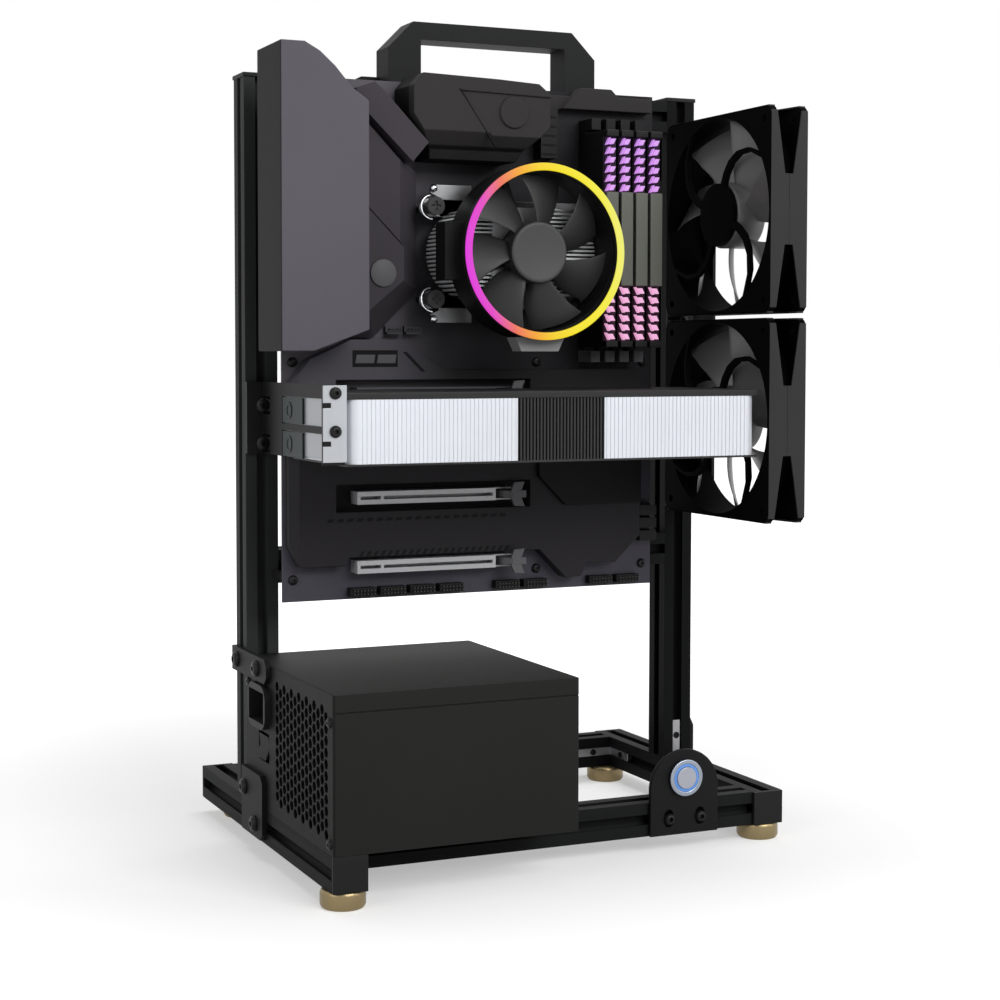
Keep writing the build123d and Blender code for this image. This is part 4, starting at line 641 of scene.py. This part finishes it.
dress(["cooler_screws"], screw_grey, 0.0003)
chrome = finish("chrome", (0.5, 0.51, 0.53), 0.2, metal=1.0, specular=0.5, drift=0.06, grain=500.0,
                spread=0.05)


def bent_wire(paths, normal, radius, sides=12):
    """Round wire in millimetres along flat paths (copies, rows, 3): each row is a circle across
    the path, set out from the plane's normal and the path's own side."""
    run = np.gradient(paths, axis=1)
    run /= np.linalg.norm(run, axis=-1, keepdims=True)
    side = np.cross(run, normal)
    angle = (np.arange(sides) * 2 * np.pi / sides)[:, None]
    ring = np.cos(angle) * side[:, :, None, :] + np.sin(angle) * np.asarray(normal, float)
    return paths[:, :, None, :] + radius * ring


hook_steps = 18
hook_turn = np.radians(np.linspace(95.0, 265.0, hook_steps))
hook_reach = 6.6 + 0.8 * np.linspace(0.0, 1.0, hook_steps) ** 2
hook_path = np.stack([screw_left + hook_reach * np.cos(hook_turn), np.linspace(-24.0, -27.0, hook_steps),
                      hook_reach * np.sin(hook_turn)], -1)
hook_paths = hook_path + np.array([(0, 0, arm_low), (0, 0, arm_high)])[:, None, :]
pin_dome = [(0.3, -4.0, 0), (1.4, -4.0, 0), (1.4, 0.0, 0), (2.4, 0.2, 0), (2.2, 1.2, 0), (1.2, 1.9, 0),
            (0.3, 2.1, 0)]
lay("spring_hooks", [bent_wire(hook_paths, (0.0, 1.0, 0.0), 0.85),
                     turned(pin_dome, [(-50.6, arm_front, z) for z in (392.4, 315.6)], [front] * 2)],
    chrome, "bench", smooth=50.0)

# The cooler's fan sits in a black moulded duct with a grey cable box below, and the ring on
# its rim is a milky light guide that runs from magenta through orange to lemon.
duct_black = finish("duct_black", (0.004, 0.004, 0.0042), 0.45, specular=0.1, grain=1400.0, depth=0.00002,
                    part=(2, 0.2985, 0.0062, (0.24, 0.24, 0.245)))
dress(["cooler_shroud"], duct_black, 0.0006)
ring_run = [(0.8, 0.045, 0.78), (0.84, 0.07, 0.6), (0.92, 0.19, 0.13), (1.0, 0.42, 0.035), (1.0, 0.72, 0.02),
            (1.0, 0.82, 0.022), (1.0, 0.87, 0.03), (0.97, 0.91, 0.07), (0.95, 0.94, 0.2)]
ring_milky = finish("ring_lit", (0.012, 0.01, 0.01), 0.35, specular=0.12, drift=0.1, grain=700.0)
ring_lit = lit(ring_milky, -0.0087, 0.0933, ring_run, (1.0, 0.0, 0.12), strength=0.9,
               depth=(-0.067, 0.0009))
dress(["cooler_light_ring"], ring_lit, 0.0012)


def bladed_wheel(name, node, body, made, origin, axes, hub, tip, depth, count, slopes, sweep, cover, bow,
                 start=0.0):
    """A moulded fan wheel in millimetres. A blade is a thin closed oval carried out along the radius:
    a share s of the way out its middle has turned by sweep * s^1.4 from start, its slope runs between
    the two given and it bends along its own cylinder. The hub is a turned cup with a bearing bore."""
    steps, sides, root_lap, half_thick, margin = 16, 28, 0.8, 0.75, 0.3
    end_room, bow_room, tip_taper = 2.6, 20.0, 0.1
    centre, bore, bore_deep, lid = 0.4, 3.05, 4.6, depth - 0.2
    s = np.linspace(0.0, 1.0, steps)[:, None]
    t = (np.arange(sides) * 2 * np.pi / sides)[None, :]
    radius = hub - root_lap + (tip - hub + root_lap) * s
    slope = np.radians(slopes[0] + (slopes[1] - slopes[0]) * s)
    room = depth - end_room - bow_room * bow
    chord = np.minimum(room / np.sin(slope), cover * 2 * np.pi * radius / count)
    chord = chord * (1.0 - tip_taper * s ** 5)
    along = chord / 2 * np.cos(t)
    thick = half_thick * np.sin(t) + bow * chord * (np.sin(t) ** 2 - 0.5)
    round_by = along * np.cos(slope) - thick * np.sin(slope)
    up = depth / 2 + along * np.sin(slope) + thick * np.cos(slope)
    up = np.clip(up, margin, depth - margin)
    turn = np.radians(start + sweep * s ** 1.4) + round_by / radius
    turn = turn + (np.arange(count) * 2 * np.pi / count)[:, None, None]
    local = np.stack([radius * np.cos(turn), radius * np.sin(turn), np.broadcast_to(up, turn.shape)], -1)
    axes = np.asarray(axes, float)
    blades = np.asarray(origin, float) + local @ axes
    cup = [(centre, bore_deep, 0), (bore, bore_deep, 0), (bore, 0.0, 0), (hub - 1.0, 0.0, 0), (hub, 0.9, 0),
           (hub, depth - 2.0, 0), (hub - 0.25, depth - 0.9, 0), (hub - 0.9, depth - 0.25, 0),
           (hub - 2.0, depth, 0), (hub - 2.8, lid, 0), (centre, lid, 0)]
    hub_cup = turned(cup, [origin], [axes[2]], sides=64)
    piece = lay(name, [blades, hub_cup], made, body, smooth=50.0)
    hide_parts(node)


facing_front = [(1, 0, 0), (0, 0, 1), (0, -1, 0)]
# A band at the wheel's front face is painted lighter: the hub's face and the blades' front edges carry a
# painted highlight.
cooler_blade_and_highlight = finish("cooler_blade_and_highlight", (0.024, 0.024, 0.0245), 0.42, drift=0.12, grain=1400.0,
                      depth=0.00001, part=(1, -0.0582, 0.0008, (0.05, 0.05, 0.0505)))
bladed_wheel("cooler_wheel", "cooler_rotor", "cooler_fan", cooler_blade_and_highlight, (-0.2, -43.2, cooler_z),
             facing_front, hub=18.0, tip=44.5, depth=15.0, count=7, slopes=(38.0, 19.0), sweep=12.0,
             cover=0.9, bow=0.04, start=21.0)

# The graphics card: a circuit board under a folded back plate, two bright stacks of stamped
# aluminium fins, and between them a ribbed block of the black shroud.
# The card's board shares the main board's finish, painted light included.
dress(["gpu_board"], board_mask_painted_light, 0.0002)
back_plate = finish("back_plate", (0.012, 0.012, 0.0125), 0.42, metal=0.2, specular=0.25, drift=0.15,
                    depth=0.00002, stretch=(0.05, 1, 1))
dress(["gpu_backplate"], back_plate, 0.0004)
stamped_fins = finish("stamped_fins", (0.56, 0.58, 0.62), 0.5, metal=0.35, specular=0.4, drift=0.08,
                      grain=380.0, depth=0.00002, stretch=(1, 0.03, 0.03))
dress(["gpu_fin_stacks"], stamped_fins, 0.0)
fin_count, stack_wide, rounded_end, root_wide = 40, 100.1, 8.0, 0.48
fin_x = (np.arange(fin_count) + 0.5) * stack_wide / fin_count
fin_x = fin_x[fin_x > rounded_end]
fin_x = np.concatenate([-139.7 + fin_x, 114.3 - fin_x])
fin_low = np.stack([fin_x - root_wide / 2, np.full_like(fin_x, -111.25), np.full_like(fin_x, 236.5)], -1)
lay("fin_roots", [boxes(fin_low, fin_low + (root_wide, 1.6, 34.2))], stamped_fins, "bench")
rib_black = finish("rib_black", (0.02, 0.02, 0.0205), 0.5, drift=0.15, grain=1500.0, depth=0.00002)
dress(["gpu_shroud"], rib_black, 0.0002)
facing_down = [(1, 0, 0), (0, -1, 0), (0, 0, -1)]
card_blade = finish("card_blade", (0.012, 0.012, 0.0125), 0.4, specular=0.3, drift=0.15, grain=1400.0,
                    depth=0.00001)
for side, x in (("left", -89.65), ("right", 64.25)):
    bladed_wheel("card_wheel_" + side, "gpu_rotor_" + side, "card_fan_" + side, card_blade,
                 (x, -67.5, 245.0), facing_down, hub=15.0, tip=38.0, depth=8.0, count=9,
                 slopes=(34.0, 26.0), sweep=24.0, cover=0.92, bow=0.03)

# The card's nickel bracket is folded over a black steel holder and screwed to it. Two dark
# port blocks with round sockets stand in the holder's windows.
bracket_nickel = finish("bracket_nickel", (0.35, 0.365, 0.385), 0.38, metal=0.5, specular=0.5, drift=0.1,
                        grain=400.0, depth=0.00001, stretch=(1, 1, 0.06))
dress(["gpu_bracket"], bracket_nickel, 0.0003)
holder_black = finish("holder_black", (0.006, 0.006, 0.0064), 0.5, specular=0.12, grain=1300.0,
                      depth=0.00003)
dress(["gpu_holder"], holder_black, 0.0004)
port_teal = finish("port_teal", (0.010, 0.017, 0.018), 0.4, specular=0.15, drift=0.25, grain=1200.0,
                   depth=0.00002)
port_x, port_levels, port_tall = -142.1, (263.0, 243.7), 14.6
port_low = np.array([(port_x, -46.4, z - port_tall / 2) for z in port_levels])
socket_ring = [(0.3, 0.05, 0), (3.0, 0.05, 0), (3.0, 0.35, 0), (3.4, 0.5, 0), (4.6, 0.5, 0), (4.9, 0.3, 0),
               (4.9, -0.6, 0), (0.3, -0.6, 0)]
lay("port_blocks", [boxes(port_low, port_low + (1.3, 35.0, port_tall)),
                    turned(socket_ring, [(port_x, -23.5, z) for z in port_levels], [left, left])],
    port_teal, "bench", edge=0.0003)

# Two case fans stand on a folded steel angle: black moulded frames with tapered pockets, four
# curved struts, and seven broad blades of glossy grey plastic on a black hub.
fan_black = finish("fan_black", (0.0014, 0.0014, 0.0015), 0.7, specular=0.02, grain=1400.0, depth=0.00003)
dress(["fan_frame_upper", "fan_frame_lower"], fan_black, 0.0005)
# Painted light: the grey strips are the frames' black plastic drawn lighter on the flat side faces where
# light falls, so only the pockets stay black.
cheek_painted_light = finish("cheek_painted_light", (0.022, 0.022, 0.0225), 0.5, specular=0.12, drift=0.15, grain=1400.0,
                    depth=0.00003)


def fan_cheeks(centre):
    """The side faces of a fan in millimetres: on each of four sides two strips run from corner to
    corner. A strip's width grows evenly from the corner to 10 mm at the waist and closes across it."""
    corner, waist, fan_deep, outer, inner = 57.0, 20.5, 25.0, 60.08, 59.0
    along = np.array([-corner, -waist, -waist, waist, waist, corner])
    width = np.array([4.3, 9.8, fan_deep / 2, fan_deep / 2, 9.8, 4.3])
    zero = np.zeros(6)
    depth = np.stack([zero, width, width, zero], -1)
    reach = np.broadcast_to(np.array([outer, outer, inner, inner]), depth.shape)
    run = np.broadcast_to(along[:, None], depth.shape)
    halves = np.stack([depth, fan_deep - depth])[:, None]
    turn = np.radians([0.0, 90.0, 180.0, 270.0])[None, :, None, None]
    y = reach * np.cos(turn) - run * np.sin(turn)
    z = reach * np.sin(turn) + run * np.cos(turn)
    x = np.broadcast_to(halves, (2, 4, 6, 4))
    strips = np.stack([x, np.broadcast_to(y, x.shape), np.broadcast_to(z, x.shape)], -1)
    return strips.reshape(8, 6, 4, 3) + np.asarray(centre, float)


fan_y, fan_rows = -56.0, (("upper", 379.0), ("lower", 256.0))
lay("fan_side_faces", [fan_cheeks((119.6, fan_y, z)) for place, z in fan_rows], cheek_painted_light, "bench",
    edge=0.0003)
dress(["fan_bracket"], coated_steel, 0.0005)
dress(["fan_screws"], blackened, 0.0004)
facing_right = [(0, 0, -1), (0, 1, 0), (1, 0, 0)]
fan_blade = finish("fan_blade", (0.11, 0.11, 0.112), 0.35, specular=0.3, drift=0.12, grain=1400.0,
                   depth=0.00001)
for place, z in fan_rows:
    bladed_wheel("fan_wheel_" + place, "fan_rotor_" + place, place + "_fan", fan_blade, (123.2, fan_y, z),
                 facing_right, hub=20.0, tip=56.5, depth=19.4, count=7, slopes=(42.0, 28.0), sweep=-16.0,
                 cover=0.8, bow=0.04, start=10.0)

# The power supply is a folded steel box in black powder coat with a pierced end panel. A
# near-black sheet behind the vents and the switch is painted shade for the box's dark inside.
# Its intake wheel turns behind the ringed grille in the box's floor.
supply_coat = finish("supply_coat", (0.0086, 0.0084, 0.0079), 0.55, specular=0.12, drift=0.15,
                     grain=1000.0, depth=0.00005)
dress(["psu_case"], supply_coat, 0.0008)
panel_coat = finish("panel_coat", (0.0078, 0.0078, 0.0075), 0.55, specular=0.08, drift=0.15, grain=1000.0,
                    depth=0.00005)
dress(["psu_rear_panel"], panel_coat, 0.0002)
dress(["psu_inlet"], moulded_black, 0.0005)
interior_painted_shade = finish("interior_painted_shade", (0.002, 0.002, 0.002), 0.7, specular=0.02, drift=0.3, grain=1500.0,
                      depth=0.0001)
shade_sheets = boxes([(-150.2, -119.0, 32.0), (-141.0, -25.0, 34.0)],
                [(-149.4, -25.0, 113.5), (-140.2, 16.0, 78.0)])
lay("vent_shade_sheet", [shade_sheets], interior_painted_shade, "bench", edge=0.0002)
rocker_black = finish("rocker_black", (0.003, 0.003, 0.0032), 0.45, specular=0.05, grain=1400.0,
                      depth=0.00001)
dress(["psu_switch"], rocker_black, 0.0005)
facing_up = [(1, 0, 0), (0, 1, 0), (0, 0, 1)]
bladed_wheel("supply_wheel", "psu_rotor", "supply_fan", card_blade, (-76.0, -48.5, 31.8), facing_up,
             hub=20.0, tip=55.0, depth=18.0, count=7, slopes=(40.0, 28.0), sweep=26.0, cover=0.86, bow=0.04)
panel_screw = [(0.3, -0.8, 0), (1.4, -0.8, 0), (1.4, 0.0, 0), (2.9, 0.0, 0), (2.7, 0.9, 0), (1.9, 1.5, 0),
               (1.1, 1.6, 0), (0.9, 1.6, 1), (0.9, 0.7, 1), (0.3, 0.7, 0)]
panel_spots = [(-152.5, y, z) for y in (-119.0, 22.5) for z in (36.0, 101.0)]
lay("panel_screws", [turned(panel_screw, panel_spots, [left] * 4)], blackened, "bench")

# The power button: a coated plate with a round top carries a turned bezel, a lit blue ring
# and a satin cap that moves when it is pressed.
dress(["button_plate"], coated_steel, 0.0006)
bezel_steel = finish("bezel_steel", (0.27, 0.3, 0.35), 0.26, metal=1.0, specular=0.5, drift=0.1,
                     depth=0.00001, stretch=(1, 0.05, 1))
dress(["button_bezel"], bezel_steel, 0.0006)
button_milky = finish("button_lit", (0.04, 0.08, 0.16), 0.4, specular=0.1, drift=0.1)
button_lit = lit(button_milky, 0.034, 0.054, [(0.1, 0.24, 0.6), (0.14, 0.32, 0.75)], upward, strength=0.8)
dress(["button_ring"], button_lit, 0.0003)
cap_satin = finish("cap_satin", (0.33, 0.34, 0.39), 0.36, metal=0.6, specular=0.5, drift=0.06,
                   depth=0.00001, stretch=(1, 1, 0.05))
dress(["button_cap"], cap_satin, 0.0004)
